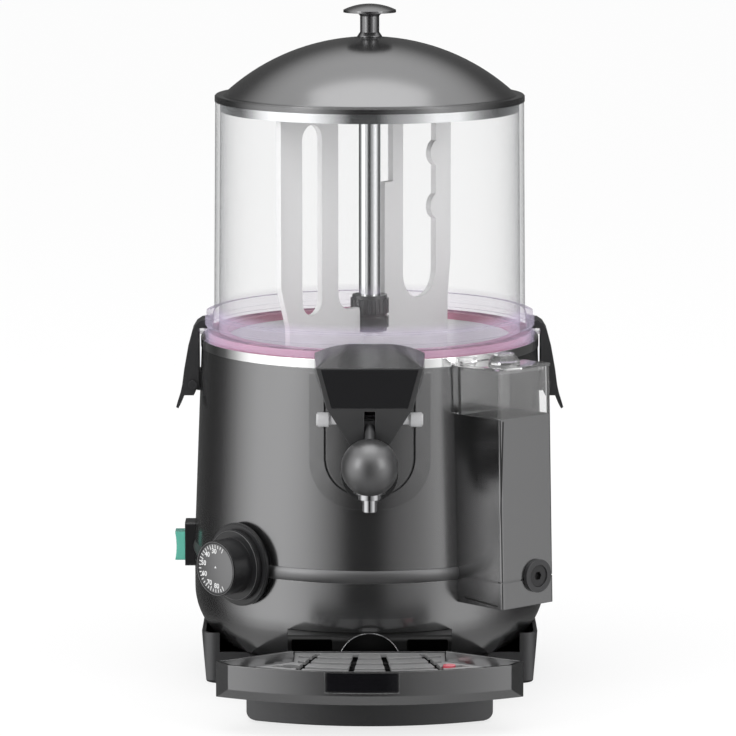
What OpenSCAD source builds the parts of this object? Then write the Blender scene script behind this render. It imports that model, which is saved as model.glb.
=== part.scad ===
// Counter-top hot chocolate dispenser: a stirred pot in heated water with a clear bowl on it,
// a tap, a water filler and a drip tray.
// The origin is on the bowl's axis, on the table.
// The tap faces -Y, +X is on the viewer's right and +Z is up. All sizes are in millimetres.

/* [Body shell] */
// Radius of the body at its top edge
shell_top_r = 139.5; // [137:0.5:142]
// Radius of the body at the joint band
shell_low_r = 146; // [144:0.5:150]
// Sheet thickness of the upper shell
shell_wall = 1.5; // [1:0.1:2]
// Height of the upper shell's top edge
shell_top_z = 273; // [268:1:280]
// Width of the upper shell's edge folded inwards
shell_fold_w = 7; // [5:0.5:8]
// Height of the joint band's middle
band_z = 105; // [100:1:110]
// Height of the joint band
band_h = 10.5; // [8:0.5:12]
// How far the joint band stands out of the body
band_proud = 1.5; // [1:0.1:2]
// Wall of the lower shell
lower_wall = 2.5; // [2:0.1:3]
// Radius of the rounding under the lower shell
lower_round = 52; // [48:1:56]
// Height of the lower shell's bottom
lower_z = 19; // [16:1:21]
// Width of the flat ring under the lower shell
lower_floor_w = 16; // [14:1:20]

/* [Base] */
// Base skirt's top inside the body's widest radius, on the radius
skirt_inset = 7.4; // [6.8:0.1:9]
// How much narrower the base skirt is at its foot, on the radius
skirt_taper = 3.6; // [2:0.1:6]
// Height of the base skirt's top edge
skirt_top_z = 42; // [38:1:43]
// Rounding of the base skirt's front corners
skirt_corner_r = 12; // [8:1:16]
// Width of each front corner of full height
skirt_cheek_w = 15; // [13:1:20]
// Wall of the base skirt, the plinth and the dock
base_wall = 3; // [2.5:0.1:3.5]
// Distance of the skirt's front ends from the axis
skirt_front = 66; // [60:1:74]
// Width of the plinth that carries the drip tray
plinth_w = 195.6; // [184:0.2:200]
// Radius of the plinth's front about the axis
plinth_r = 225; // [215:1:232]
// Height of the plinth's top
plinth_top_z = 26; // [24:0.5:28]
// Rounding of the plinth's lower corners
plinth_corner_r = 6.5; // [4:0.5:8]
// Thickness of the rubber foot strips
foot_t = 2; // [1.5:0.1:3]
// Width of the dock that the tray slides up to
dock_w = 132; // [124:1:140]
// How far the dock's face stands out of the body
dock_proud = 9; // [6:1:14]
// How far the dock reaches back from its face
dock_depth = 45; // [40:1:50]
// Height of the dock's top
dock_top_z = 59; // [56:1:62]
// Width of each slot in the dock
dock_slot_w = 33; // [28:1:34]
// Radius of the arch between the dock's slots
dock_arch_r = 24.5; // [20:0.5:26]
// Thickness of the floor plate
floor_t = 2.5; // [2:0.1:3]
// Radius of the hole in the cable gland
gland_r = 4.5; // [3.5:0.1:5]
// Height of the cable gland
gland_z = 20; // [18:1:24]

/* [Drip tray] */
// Width of the drip tray
tray_w = 242; // [230:1:250]
// Radius of the tray's front about the axis
tray_r = 266; // [258:1:272]
// Height of the tray's wall
tray_h = 28.5; // [26:0.5:30]
// Wall of the tray
tray_wall = 2.5; // [2:0.1:3]
// Width of the chamfer at each front corner of the tray
tray_corner = 10; // [6:1:12]
// Height of the chamfer under the tray's front
tray_chamfer = 9; // [6:0.5:10]
// Distance from the axis of the tray's widest points
tray_wide_y = 226; // [222:1:230]
// Distance from the axis of the place where the tray narrows
tray_neck_y = 190; // [184:1:196]
// Height of the grille's top above the tray's underside
grille_seat = 20; // [17:0.5:21]
// Width of a grille bar
bar_w = 12; // [8:0.5:13]
// Distance between grille bars
bar_pitch = 19; // [16:0.5:22]
// Width of the radial breaks in the grille
bar_break = 5; // [3:0.5:6]
// Angle from the grille's middle to its first radial breaks
bar_break_angle = 3.8; // [3:0.1:4.2]
// Radius of the float in the grille
float_r = 5; // [4:0.5:6]
// Distance of the float from the middle of the tray
float_x = 63; // [58:1:68]
// Distance of the float from the axis
float_y = 207; // [203:1:210]
// Width of the bare inset on the tray's front
inset_w = 58; // [50:1:70]

/* [Pot and tank] */
// Space between the water tank and the body's top edge
tank_gap = 9.5; // [9:0.5:11]
// How high the water tank stands over the drive deck
tank_lift = 3; // [2.8:0.1:4]
// Sheet thickness of the tank and the pot
steel_t = 1.5; // [1:0.1:2]
// Height of the drive deck's underside
deck_z = 121; // [119:1:123]
// Width of the water jacket round the chocolate pot
jacket_w = 12; // [11:0.5:14]
// Height of the pot's floor, outside
pot_z = 170; // [165:1:172]
// Rounding between the pot's floor and wall
pot_round = 30; // [24:1:34]
// How far the pot's rim band stands out
rim_proud = 0.5; // [0.2:0.1:1]
// Height of the pot's rim band
rim_h = 7.5; // [6:0.5:9]
// Distance of the heating ring inside the pot's radius
heater_inset = 22; // [14:1:30]
// Height of the heating ring over the tank's floor
heater_lift = 22; // [16:1:26]
// Radius of the heating ring's tube
heater_tube_r = 4.5; // [3.5:0.5:5.5]
// Width of the gearbox
gearbox_w = 72; // [68:1:80]
// Depth of the gearbox
gearbox_d = 56; // [52:1:64]
// Height of the gearbox
gearbox_h = 32; // [28:1:34]
// Radius of the motor
motor_r = 29; // [26:1:32]
// Height of the motor
motor_h = 55; // [50:1:60]

/* [Bowl and lid] */
// How far the clear bowl stands inside the pot's rim
bowl_inset = 11; // [10.5:0.1:12]
// How much narrower the bowl is at its top, on the radius
bowl_taper = 1.8; // [0.5:0.1:2.5]
// Wall of the clear bowl
bowl_wall = 4; // [3:0.5:4.5]
// Height of the bowl, flange included
bowl_h = 195; // [180:1:210]
// How far the bowl's flange stands inside the pot's rim
flange_inset = 2.5; // [2:0.1:3.2]
// Height of the bowl's flange
flange_h = 20; // [18:0.5:22]
// Height of the gasket under the bowl
gasket_h = 5.5; // [4.5:0.5:6.5]
// How far the lid's rim stands over the bowl's edge
lid_lip = 0.5; // [0.2:0.1:2]
// Width of the lid's flat rim round its dome
lid_ledge = 7; // [5:0.5:8]
// Height of the lid's rim
lid_rim_h = 5; // [4:0.5:6]
// Rise of the lid's dome over its rim
dome_rise = 47.5; // [42:0.5:52]
// Wall of the lid's dome
dome_wall = 3; // [2.5:0.1:3.5]
// Height of the chrome skirt under the lid
lid_skirt_h = 8; // [6:0.5:10]
// Radius of the lid knob's head
lid_knob_r = 21.7; // [18:0.1:24]
// Radius of the lid knob's stem
lid_stem_r = 7.9; // [7:0.1:9]
// Height of the lid knob
lid_knob_h = 27.1; // [24:0.1:34]
// Height of the lid knob's head
lid_head_h = 7; // [6:0.5:9]

/* [Stirrer] */
// Radius of the drive shaft
shaft_r = 6; // [5:0.5:6.5]
// Radius of the chrome tube round the shaft
shaft_tube_r = 9; // [8.5:0.5:10]
// Thickness of the paddle
paddle_t = 5; // [4:0.5:7]
// Distance of the paddle's left wing from the bowl's outside
paddle_left_gap = 10; // [9:0.5:14]
// Distance of the paddle's right wing from the bowl's outside
paddle_right_gap = 21; // [16:1:26]
// Angle of the paddle's wings at rest
paddle_angle = 52; // [30:1:60]
// Radius of the hub between the shaft tube and the paddle
hub_r = 16; // [14:0.5:17]
// Height of the hub
hub_h = 30; // [26:1:32]

/* [Tap] */
// Height of the tap's level bore
tap_z = 193; // [190:0.5:196]
// Distance of the lever's pivot in front of the body
pivot_reach = 17.25; // [16.5:0.25:18]
// Distance of the nozzle in front of the lever's pivot
nozzle_reach = 18; // [17.5:0.5:19]
// Distance of the lever's ball in front of the nozzle
ball_reach = 37; // [36:0.5:40]
// Distance of the hood's top edge in front of the nozzle
hood_reach = 27; // [25:0.5:29]
// Outer radius of the nozzle
nozzle_r = 5.7; // [5.5:0.1:6.5]
// Length of the nozzle under its collar
nozzle_len = 10; // [7:0.5:14]
// Radius of the tap's outlet
outlet_r = 4.5; // [4:0.1:5]
// Radius of the valve chamber's bore
chamber_r = 9; // [8.5:0.1:9.5]
// Wall of the valve chamber
chamber_wall = 4; // [3.5:0.1:4.2]
// Radius of the tap's barrel
barrel_r = 23; // [21:0.5:24]
// Height of the lever's pivot
pivot_z = 236; // [234:0.5:238]
// Radius of the lever's pivot pin
pivot_r = 4; // [3.5:0.1:4.5]
// Radius of the heads of the lever's pivot pin
pin_head_r = 5.8; // [5:0.1:7]
// Radius of the lever's ball
ball_r = 22.5; // [20:0.5:23]
// Height of the ball
ball_z = 207; // [204:0.5:209]
// Radius of the lever's stem
stem_r = 4; // [3:0.1:4.2]
// Radius of the piston's rod
rod_r = 3.5; // [3:0.1:3.5]
// Half the width of the tap's panel on the shell
panel_half_w = 48.6; // [46:0.2:50]
// Height of the lower edge of the tap's panel
panel_low_z = 161; // [158:0.5:164]
// Thickness of the tap's panel
panel_t = 5; // [4:0.5:6]
// Half the width of the hood over the tap
hood_half_w = 44.5; // [42:0.5:46]
// Height of the hood's front top edge
hood_front_z = 284; // [282:0.5:286]
// Height of the hood's lowest edge
hood_low_z = 221; // [220:0.5:223]
// Wall of the hood
hood_wall = 3; // [2.5:0.1:3.5]

/* [Water filler] */
// Angle of the filler from the front, towards the right
filler_angle = 40; // [37:1:46]
// Width of the filler
filler_w = 55; // [52:1:62]
// How far the filler's outer face stands out of the body
filler_depth = 49; // [44:1:52]
// Angle that the filler leans, with its foot farther out
filler_lean = 1.7; // [0:0.1:2]
// Height of the filler housing's bottom
filler_low_z = 83; // [80:1:86]
// Height of the filler housing's top
filler_top_z = 236.5; // [230:0.5:240]
// Height of the clear window on the housing
window_h = 38.5; // [34:0.5:44]
// Wall of the filler housing
filler_wall = 2.5; // [2:0.1:3]
// Wall of the clear window
window_wall = 2; // [1.5:0.1:2.5]
// Radius of the knob on the filler's lid
filler_knob_r = 13; // [10:0.5:14]
// Height of the knob on the filler's lid
filler_knob_h = 8.5; // [7:0.5:12]
// Radius of the collar round the drain plug
drain_r = 13.4; // [12.5:0.1:14]
// Distance of the drain plug from the face's middle
drain_x = 9.4; // [6:0.1:11]
// Height of the drain plug
drain_z = 106.5; // [104:0.5:110]

/* [Controls] */
// Angle of the thermostat from the front, towards the left
dial_angle = 45; // [42:1:50]
// Height of the thermostat
dial_z = 108; // [106:0.5:110]
// Radius of the bezel behind the thermostat's knob
bezel_r = 34; // [32:0.5:35]
// How far the bezel's face stands out of the body
bezel_proud = 6; // [5.5:0.5:9]
// Thickness of the bezel's disc
bezel_t = 3; // [2.5:0.5:3.5]
// Radius of the flange of the thermostat's knob
dial_flange_r = 29; // [27:0.5:31]
// Radius of the thermostat's dial
dial_r = 22.6; // [20:0.2:24]
// Depth of the thermostat's knob
dial_depth = 24; // [20:0.5:27]
// Radius of the thermostat's spindle
spindle_r = 3; // [2.5:0.1:3.5]
// Width of the thermostat's body
thermostat_w = 30; // [26:1:32]
// Height of the thermostat's body
thermostat_h = 20; // [18:1:21]
// Height of the switch above the surface
switch_z = 106; // [105:0.5:108]
// Height of the switch housing
switch_h = 36.5; // [35:0.5:40]
// Width of the switch housing
switch_w = 24; // [23:0.5:26]
// How far the switch housing's face stands out of the body
switch_proud = 8; // [7:0.1:10]
// How far the rocker sits under the middle of its housing
rocker_drop = 2; // [0:0.5:2]
// Height of the switch rocker
rocker_h = 24; // [22:0.5:24]
// Width of the switch rocker
rocker_w = 15; // [13:0.5:16]
// How far the rocker stands out of its housing
rocker_proud = 8.3; // [6:0.1:9]
// Radius of the hollow in the rocker's face
rocker_dish_r = 60; // [50:1:80]

/* [Latches] */
// Width of a latch
latch_w = 28; // [26:0.5:30]
// Sheet thickness of a latch
latch_t = 2; // [1.6:0.1:2.4]
// Height of a latch's pivot
latch_z = 241.2; // [240:0.1:243]
// Height of a latch's top over its pivot
latch_up = 54.6; // [53:0.2:60]
// Radius of a latch's pivot pin
latch_pin_r = 2.5; // [2:0.1:2.8]

/* [Fits] */
// Radial clearance of a running fit
run_fit = 0.05; // [0.03:0.01:0.08]
// Clearance round pieces that lift or slide out
slide_gap = 0.4; // [0.3:0.05:0.6]
// Clearance between fixed pieces
seat_gap = 0.2; // [0.1:0.05:0.3]

/* [Hidden] */
$fn = 96;
eps = 0.01;
far = 400;

band_low_z = band_z - band_h / 2;
band_top_z = band_z + band_h / 2;
lower_mid_r = shell_low_r - lower_round;
lower_mid_z = lower_z + lower_round;
lower_hole_r = lower_mid_r - lower_floor_w;
post_circle_r = lower_mid_r - lower_floor_w / 2;
dock_front = shell_low_r + dock_proud;
tongue_r = shell_low_r - max(lower_wall, shell_wall) - seat_gap;
tongue_t = 1.5;
tongue_top_z = band_top_z + 1;

skirt_top_r = shell_low_r - skirt_inset;
skirt_low_r = skirt_top_r - skirt_taper;
skirt_slope = (skirt_top_r - skirt_low_r) / (skirt_top_z - foot_t);
floor_r = skirt_low_r - base_wall - seat_gap;
post_angles = [40, 140, 220, 320];

tray_z = plinth_top_z;
tray_top_z = tray_z + tray_h;
tray_floor_z = tray_z + tray_wall;
grille_top_z = tray_z + grille_seat;
grille_bar_h = 3;
grille_rib_h = 5;
grille_low_z = grille_top_z - grille_bar_h - grille_rib_h;
tray_back = dock_front + slide_gap;
neck_half_w = dock_w / 2 - base_wall;

deck_t = 2;
tank_z = deck_z + deck_t + tank_lift;
tank_r = shell_top_r - tank_gap;
pot_r = tank_r - jacket_w;
heater_r = pot_r - heater_inset;
rim_r = shell_top_r + rim_proud;
bolt_x = 28;
bolt_y = 20;
heater_gap_angle = 30;
rim_top_z = shell_top_z + rim_h;
pot_floor_z = pot_z + steel_t;
pot_boss_z = pot_floor_z + 14;
boss_r = 16;
column_r = 14;
seal_r = 11;

bowl_r = rim_r - bowl_inset;
flange_r = rim_r - flange_inset;
bowl_z = rim_top_z + 0.5;
bowl_top_z = bowl_z + bowl_h;
flange_top_z = bowl_z + flange_h;
gasket_in_r = pot_r - 0.5;
gasket_out_r = bowl_r + 5;
lug_x = flange_r + 4;
lug_top_z = bowl_z + 7;
lug_half_w = 10;

lid_fit = 0.3;
lid_in_r = bowl_r - bowl_taper - bowl_wall - lid_fit;
lid_r = bowl_r - bowl_taper + lid_lip;
dome_base_z = bowl_top_z + lid_rim_h;
dome_base_r = lid_r - lid_ledge;
dome_r = (dome_base_r * dome_base_r + dome_rise * dome_rise) / (2 * dome_rise);
dome_mid_z = dome_base_z + dome_rise - dome_r;
dome_top_z = dome_base_z + dome_rise;

paddle_left_r = bowl_r - paddle_left_gap;
paddle_right_r = bowl_r - paddle_right_gap;
paddle_low_z = pot_floor_z + 5;
paddle_top_z = bowl_top_z - 4;
paddle_pot_r = pot_r - 10;
sleeve_r = 12;
hub_z = bowl_z + 4;
hub_top_z = hub_z + hub_h;
paddle_gap_z = hub_z + 21;
boss_gap = 2;

tap_base_r = (shell_low_r + shell_top_r) / 2;
pivot_y = tap_base_r + pivot_reach;
nozzle_y = pivot_y + nozzle_reach;
ball_y = nozzle_y + ball_reach;
hood_front = nozzle_y + hood_reach;
hood_back_y = shell_top_r - 19.5;
chamber_out_r = chamber_r + chamber_wall;
chamber_z = tap_z - 13;
seat_t = 3;
guide_z = tap_z + 11;
guide_h = 7;
spring_h = 10;
cap_z = guide_z + guide_h + spring_h;
cap_t = 4;
spigot_r = chamber_r + 5;
link_r = 2;
lever_in_x = 3.9;
lever_out_x = 6.4;
ear_in_x = 7;
ear_out_x = 12;
barrel_face = nozzle_y - 10;
stem_root_y = nozzle_y + 10;
stem_angle = atan2(ball_y - stem_root_y, pivot_z - ball_z);
stem_len = norm([ball_y - stem_root_y, pivot_z - ball_z]);
hood_low_y = hood_front - 13;
face_tilt = atan2(hood_front - hood_low_y, hood_front_z - hood_low_z);
plate_low = 31;
plate_high = 63;
plate_low_half_w = 30;
plate_high_half_w = 38.1;

filler_face = shell_low_r + filler_depth;
filler_mid_z = 180;
window_back = rim_r + 5.5;
window_z = filler_top_z;
window_top_z = window_z + window_h;
pipe_z = tank_z + 12;
pipe_r = 6;

bezel_face = shell_low_r + bezel_proud;
knob_gap = 0.5;
switch_face = shell_low_r + switch_proud;
rocker_z = switch_z - rocker_drop;
rocker_pivot = switch_face - 2.7;

latch_x = max(rim_r + 6.6, shell_r(latch_z) + 5.8);
hook_x = bowl_r + 1.3 - latch_x;
hook_z = lug_top_z + slide_gap - latch_z;

// Radius of the base skirt's outside at height z
function skirt_r(z) = skirt_low_r + (z - foot_t) * skirt_slope;

// Radius of the body's tapered outside at height z
function shell_r(z) = shell_top_r
    + (shell_top_z - z) * (shell_low_r - shell_top_r) / (shell_top_z - band_top_z);

// Turns children so that +Z points outwards and +Y up, at an angle from the front to the right
module outward(angle, z) {
    rotate([0, 0, angle]) up(z) rotate([90, 0, 0]) children();
}

// Lifts children
module up(z) {
    translate([0, 0, z]) children();
}

// Extrudes an outline drawn in X and Z from one distance in front of the axis to another
module front_extrude(near, far_end) {
    translate([0, -near, 0]) rotate([90, 0, 0]) linear_extrude(far_end - near) children();
}

// Extrudes an outline drawn in Y and Z along X
module side_extrude(low_x, high_x) {
    translate([low_x, 0, 0]) rotate([90, 0, 90]) linear_extrude(high_x - low_x) children();
}

// Ring about the axis
module ring(in_r, out_r, low_z, high_z) {
    up(low_z) difference() {
        cylinder(r = out_r, h = high_z - low_z);
        up(-1) cylinder(r = in_r, h = high_z - low_z + 2);
    }
}

// Rectangle with rounded corners, about its own middle
module round_rect(w, h, r) {
    square([w - 2 * r, h], center = true);
    square([w, h - 2 * r], center = true);
    for (x = [-1, 1], y = [-1, 1]) translate([x * (w / 2 - r), y * (h / 2 - r)]) circle(r);
}

// Half section of the lower shell's outside, grown by a distance
module lower_section(grow) {
    intersection() {
        translate([lower_mid_r, lower_mid_z]) circle(lower_round + grow);
        translate([lower_mid_r, 0]) square([far, lower_mid_z]);
    }
    translate([0, lower_z - grow]) square([lower_mid_r, band_low_z - lower_z + grow]);
    translate([0, lower_mid_z]) square([shell_low_r + grow, band_low_z - lower_mid_z]);
}

// Half section of the joint band's outside, grown by a distance
module band_section(grow) {
    bulge_r = (band_h * band_h / 4 + band_proud * band_proud) / (2 * band_proud);
    intersection() {
        translate([shell_low_r + band_proud - bulge_r, band_z]) circle(bulge_r + grow);
        translate([0, band_low_z]) square([far, band_h]);
    }
    translate([0, band_low_z]) square([shell_low_r + grow, band_h]);
}

// The body's outside as one solid, grown by a distance, to cut what stands on it
module body_envelope(grow = 0) {
    rotate_extrude($fn = 240) {
        lower_section(grow);
        band_section(grow);
        polygon([[0, band_top_z - eps], [shell_low_r + grow, band_top_z - eps],
            [shell_top_r + grow, shell_top_z], [0, shell_top_z]]);
    }
}

// The body's outside near the joint band, for what stands on it there
module band_envelope() {
    cylinder(r = shell_low_r, h = band_low_z + 1, $fn = 240);
    rotate_extrude($fn = 240) band_section(0);
    up(band_top_z)
        cylinder(r1 = shell_low_r, r2 = shell_top_r, h = shell_top_z - band_top_z, $fn = 240);
}

/* ---- Base ---- */

// Plan of the plinth, drawn in by an inset
module plinth_plan(inset) {
    intersection() {
        circle(plinth_r - inset);
        translate([-plinth_w / 2 + inset, -far]) square([plinth_w - 2 * inset, far - skirt_front + inset]);
    }
}

// Plan of the base skirt: round at the back, straight at the sides
module skirt_plan(r, inset) {
    intersection() {
        circle(r);
        translate([-far / 2, 0]) square([far, far]);
    }
    translate([-r, -skirt_front + skirt_corner_r]) square([2 * r, skirt_front - skirt_corner_r]);
    translate([skirt_corner_r - inset - r, -skirt_front + inset])
        square([2 * (r + inset - skirt_corner_r), skirt_corner_r]);
    for (x = [-1, 1]) translate([x * (r + inset - skirt_corner_r), -skirt_front + skirt_corner_r])
        circle(skirt_corner_r - inset);
}

module foot_strips() {
    color("#1c1c1d") {
        linear_extrude(foot_t) difference() {
            skirt_plan(skirt_low_r, 0);
            skirt_plan(skirt_low_r - 2 * base_wall, 2 * base_wall);
            translate([-plinth_w / 2 + base_wall, -far / 2]) square([plinth_w - 2 * base_wall, far / 2]);
        }
        linear_extrude(foot_t) intersection() {
            difference() {
                plinth_plan(plinth_corner_r);
                plinth_plan(plinth_corner_r + 2 * base_wall);
            }
            translate([-far / 2, -far]) square([far, far - plinth_r + 60]);
        }
    }
}

// The skirt as a solid block, drawn in by an inset
module skirt_block(inset) {
    intersection() {
        rotate_extrude() polygon([[0, foot_t - inset], [skirt_low_r - inset, foot_t - inset],
            [skirt_top_r - inset, skirt_top_z + inset], [0, skirt_top_z + inset]]);
        translate([-far / 2, 0, -far / 2]) cube([far, far, far]);
    }
    intersection() {
        front_extrude(0, skirt_front - inset) polygon([[-skirt_low_r + inset, foot_t - inset],
            [skirt_low_r - inset, foot_t - inset], [skirt_top_r - inset, skirt_top_z + inset],
            [-skirt_top_r + inset, skirt_top_z + inset]]);
        linear_extrude(far, center = true) skirt_plan(skirt_top_r - inset, inset);
    }
}

// The skirt's wall: its front is only as high as the plinth between the two corners
module base_skirt() {
    middle = skirt_top_r - skirt_cheek_w;
    difference() {
        skirt_block(0);
        skirt_block(base_wall);
        translate([-middle, -skirt_front - 1, plinth_top_z]) cube([2 * middle, base_wall + 2, far]);
    }
}

module plinth() {
    difference() {
        intersection() {
            up(foot_t) linear_extrude(plinth_top_z - foot_t) intersection() {
                circle(plinth_r);
                translate([-far / 2, -far]) square([far, far - skirt_front]);
            }
            front_extrude(0, far) translate([0, (plinth_top_z + foot_t) / 2 + plinth_corner_r])
                round_rect(plinth_w, plinth_top_z - foot_t + 2 * plinth_corner_r, plinth_corner_r);
        }
        up(foot_t - 1) linear_extrude(plinth_top_z - foot_t - base_wall + 1)
            plinth_plan(base_wall + 1);
    }
}

// Side view of the dock, with its round front edge
module dock_section() {
    edge = 6;
    back = dock_front - dock_depth;
    translate([-dock_front, plinth_top_z - base_wall])
        square([dock_front - back, dock_top_z - edge - plinth_top_z + base_wall]);
    translate([-dock_front + edge, dock_top_z - edge - eps]) square([dock_front - back - edge, edge + eps]);
    translate([-dock_front + edge, dock_top_z - edge]) circle(edge);
}

module dock() {
    slot_x = dock_w / 2 - base_wall - dock_slot_w / 2;
    slot_low_z = tray_z + 4;
    slot_h = dock_top_z - 3 - slot_low_z;
    arch_z = tray_z + 10;
    difference() {
        side_extrude(-dock_w / 2, dock_w / 2) dock_section();
        for (x = [-1, 1]) front_extrude(dock_front - 25, dock_front + 1)
            translate([x * slot_x, slot_low_z + slot_h / 2]) round_rect(dock_slot_w, slot_h, 1.5);
        front_extrude(dock_front - 8, dock_front + 1) intersection() {
            translate([0, arch_z]) circle(dock_arch_r);
            translate([-far / 2, arch_z - 8]) square([far, far]);
        }
    }
    front_extrude(dock_front - base_wall, dock_front + 0.3) intersection() {
        translate([0, arch_z]) difference() {
            circle(dock_arch_r + 1.2);
            circle(dock_arch_r);
        }
        translate([-far / 2, arch_z]) square([far, far]);
    }
}

module base_housing() {
    color("#3a3b3d") difference() {
        union() {
            difference() {
                union() {
                    base_skirt();
                    plinth();
                }
                rotate_extrude() lower_section(0.3);
            }
            dock();
        }
        outward(180, gland_z) cylinder(r = gland_r + 2.5, h = far / 2);
    }
}

module cable_gland() {
    face = skirt_r(gland_z + gland_r + 6) + seat_gap / 2;
    color("#1c1c1d") outward(180, gland_z) difference() {
        union() {
            up(face) cylinder(r = gland_r + 6, h = 3);
            up(face - base_wall - 6) cylinder(r = gland_r + 2.5, h = base_wall + 7);
            up(face - base_wall - 6) cylinder(r = gland_r + 5, h = 3);
        }
        cylinder(r = gland_r, h = far);
    }
}

// Puts children where the screws of the floor plate are
module at_posts() {
    for (a = post_angles) rotate([0, 0, a]) translate([post_circle_r, 0, 0]) children();
}

module floor_plate() {
    color("#8d8f92") {
        difference() {
            up(foot_t) linear_extrude(floor_t) skirt_plan(floor_r, base_wall + seat_gap);
            for (a = [-48 : 12 : 48]) rotate([0, 0, 90 + a]) translate([44, -1.5, 0]) cube([22, 3, 20]);
            at_posts() cylinder(r = 2.1, h = far);
        }
        at_posts() up(foot_t + 1) difference() {
            cylinder(r = 6, h = lower_z - foot_t - 1);
            up(-1) cylinder(r = 2.1, h = far);
        }
    }
}

module screws() {
    color("#b9bbbd") at_posts() {
        up(foot_t - 1.8) cylinder(r = 4, h = 1.8);
        up(foot_t - 1) cylinder(r = 2, h = lower_z + lower_wall + 1 - foot_t + 1);
    }
    color("#b9bbbd") for (x = [-1, 1], y = [-1, 1]) translate([x * bolt_x, y * bolt_y, 0]) {
        up(deck_z + deck_t) cylinder(r = 3.5, h = 2.5);
        up(deck_z - 9) cylinder(r = 2, h = deck_t + 9 + 1);
    }
}

/* ---- Body ---- */

// Hole through the shells for the spindle of the thermostat
module spindle_hole(r) {
    outward(-dial_angle, dial_z) cylinder(r = r, h = far / 2);
}

// Opening through the shells for the switch
module switch_hole(gap) {
    outward(-90, rocker_z) up(tongue_r - 20)
        linear_extrude(60) square([rocker_w + 6 + 2 * gap, rocker_h + 6 + 2 * gap], center = true);
}

// Room for the thermostat's body behind the band
module thermostat_room(gap) {
    outward(-dial_angle, dial_z) up(tongue_r - 25) linear_extrude(24)
        square([thermostat_w + 2 * gap, thermostat_h + 2 * gap], center = true);
}

module lower_shell() {
    color("#4a4b4d") difference() {
        rotate_extrude() difference() {
            lower_section(0);
            lower_section(-lower_wall);
            translate([0, lower_mid_z]) square([shell_low_r - lower_wall, far]);
            translate([-1, 0]) square([lower_hole_r + 1, far]);
        }
        side_extrude(-dock_w / 2 - seat_gap, dock_w / 2 + seat_gap)
            translate([-far, 0]) square([far - dock_front + dock_depth + seat_gap, dock_top_z + seat_gap]);
        at_posts() cylinder(r = 2, h = lower_z + 10);
        spindle_hole(spindle_r + 2);
        switch_hole(0);
    }
}

module joint_band() {
    color("#4a4b4d") difference() {
        rotate_extrude() {
            difference() {
                band_section(0);
                translate([-1, 0]) square([tongue_r - tongue_t + 1, far]);
            }
            translate([tongue_r - tongue_t, band_low_z - 4]) square([tongue_t, tongue_top_z - band_low_z + 4]);
        }
        spindle_hole(spindle_r + 2);
        thermostat_room(seat_gap);
        switch_hole(0);
    }
}

module upper_shell() {
    color("#5a5b5d") difference() {
        rotate_extrude() difference() {
            polygon([[shell_low_r - shell_wall, band_top_z], [shell_low_r, band_top_z],
                [shell_top_r, shell_top_z], [shell_top_r - shell_fold_w, shell_top_z],
                [shell_top_r - shell_fold_w, shell_top_z - shell_wall],
                [shell_r(shell_top_z - shell_wall) - shell_wall, shell_top_z - shell_wall]]);
        }
        outward(0, tap_z) cylinder(r = spigot_r + seat_gap, h = far / 2);
        outward(filler_angle, pipe_z) cylinder(r = pipe_r + seat_gap, h = far / 2);
        spindle_hole(spindle_r + 2);
        switch_hole(0);
    }
}

/* ---- Drive and water jacket ---- */

module drive_deck() {
    deck_r = tongue_r - seat_gap;
    color("#a9abad") difference() {
        union() {
            up(deck_z) cylinder(r = deck_r, h = deck_t);
            ring(deck_r - tongue_t, deck_r, tongue_top_z, deck_z + 1);
            ring(tank_r - 12, tank_r - 2, deck_z + 1, tank_z);
        }
        cylinder(r = seal_r + 1, h = far);
        outward(-dial_angle, dial_z) up(90) linear_extrude(80)
            square([thermostat_w + 4, 2 * (deck_z - dial_z) - 2], center = true);
        outward(-90, rocker_z) up(switch_face - 24) linear_extrude(80)
            square([rocker_w + 8, rocker_h + 10], center = true);
        for (x = [-1, 1], y = [-1, 1]) translate([x * bolt_x, y * bolt_y, 0]) cylinder(r = 2, h = far);
        for (a = [heater_gap_angle / 2, -heater_gap_angle / 2]) rotate([0, 0, a + 90])
            translate([heater_r, 0, 0]) cylinder(r = heater_tube_r + 2, h = far);
    }
}

module water_tank() {
    flange_z = shell_top_z;
    color("#c3c5c7") difference() {
        union() {
            ring(tank_r - steel_t, tank_r, tank_z, flange_z + steel_t);
            ring(tank_r - steel_t, rim_r - steel_t - 0.5, flange_z, flange_z + steel_t);
            up(tank_z) cylinder(r = tank_r, h = steel_t);
            ring(column_r - steel_t, column_r, tank_z, pot_z);
        }
        cylinder(r = column_r - steel_t, h = far);
        outward(0, tap_z) cylinder(r = spigot_r + seat_gap, h = far / 2);
        outward(filler_angle, pipe_z) cylinder(r = pipe_r + seat_gap, h = far / 2);
        for (a = [heater_gap_angle / 2, -heater_gap_angle / 2]) rotate([0, 0, a + 90])
            translate([heater_r, 0, 0]) cylinder(r = heater_tube_r, h = tank_z + 10);
    }
}

module tank_gasket() {
    color("#e8e6e0") ring(tank_r, rim_r - steel_t - 2, shell_top_z + steel_t, rim_top_z - steel_t);
}

module heating_ring() {
    heater_z = tank_z + heater_lift;
    color("#6e6f70") {
        rotate([0, 0, 90 + heater_gap_angle / 2]) rotate_extrude(angle = 360 - heater_gap_angle)
            translate([heater_r, heater_z]) circle(heater_tube_r, $fn = 32);
        for (a = [heater_gap_angle / 2, -heater_gap_angle / 2]) rotate([0, 0, a + 90])
            translate([heater_r, 0, tank_z - 14]) cylinder(r = heater_tube_r, h = heater_z - tank_z + 14);
    }
}

module temperature_probe() {
    color("#b4b6b8") outward(-dial_angle, tank_z + steel_t) up((tank_r + pot_r) / 2 - 0.8)
        rotate([-90, 0, 0]) cylinder(r = 3, h = 60);
}

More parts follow.
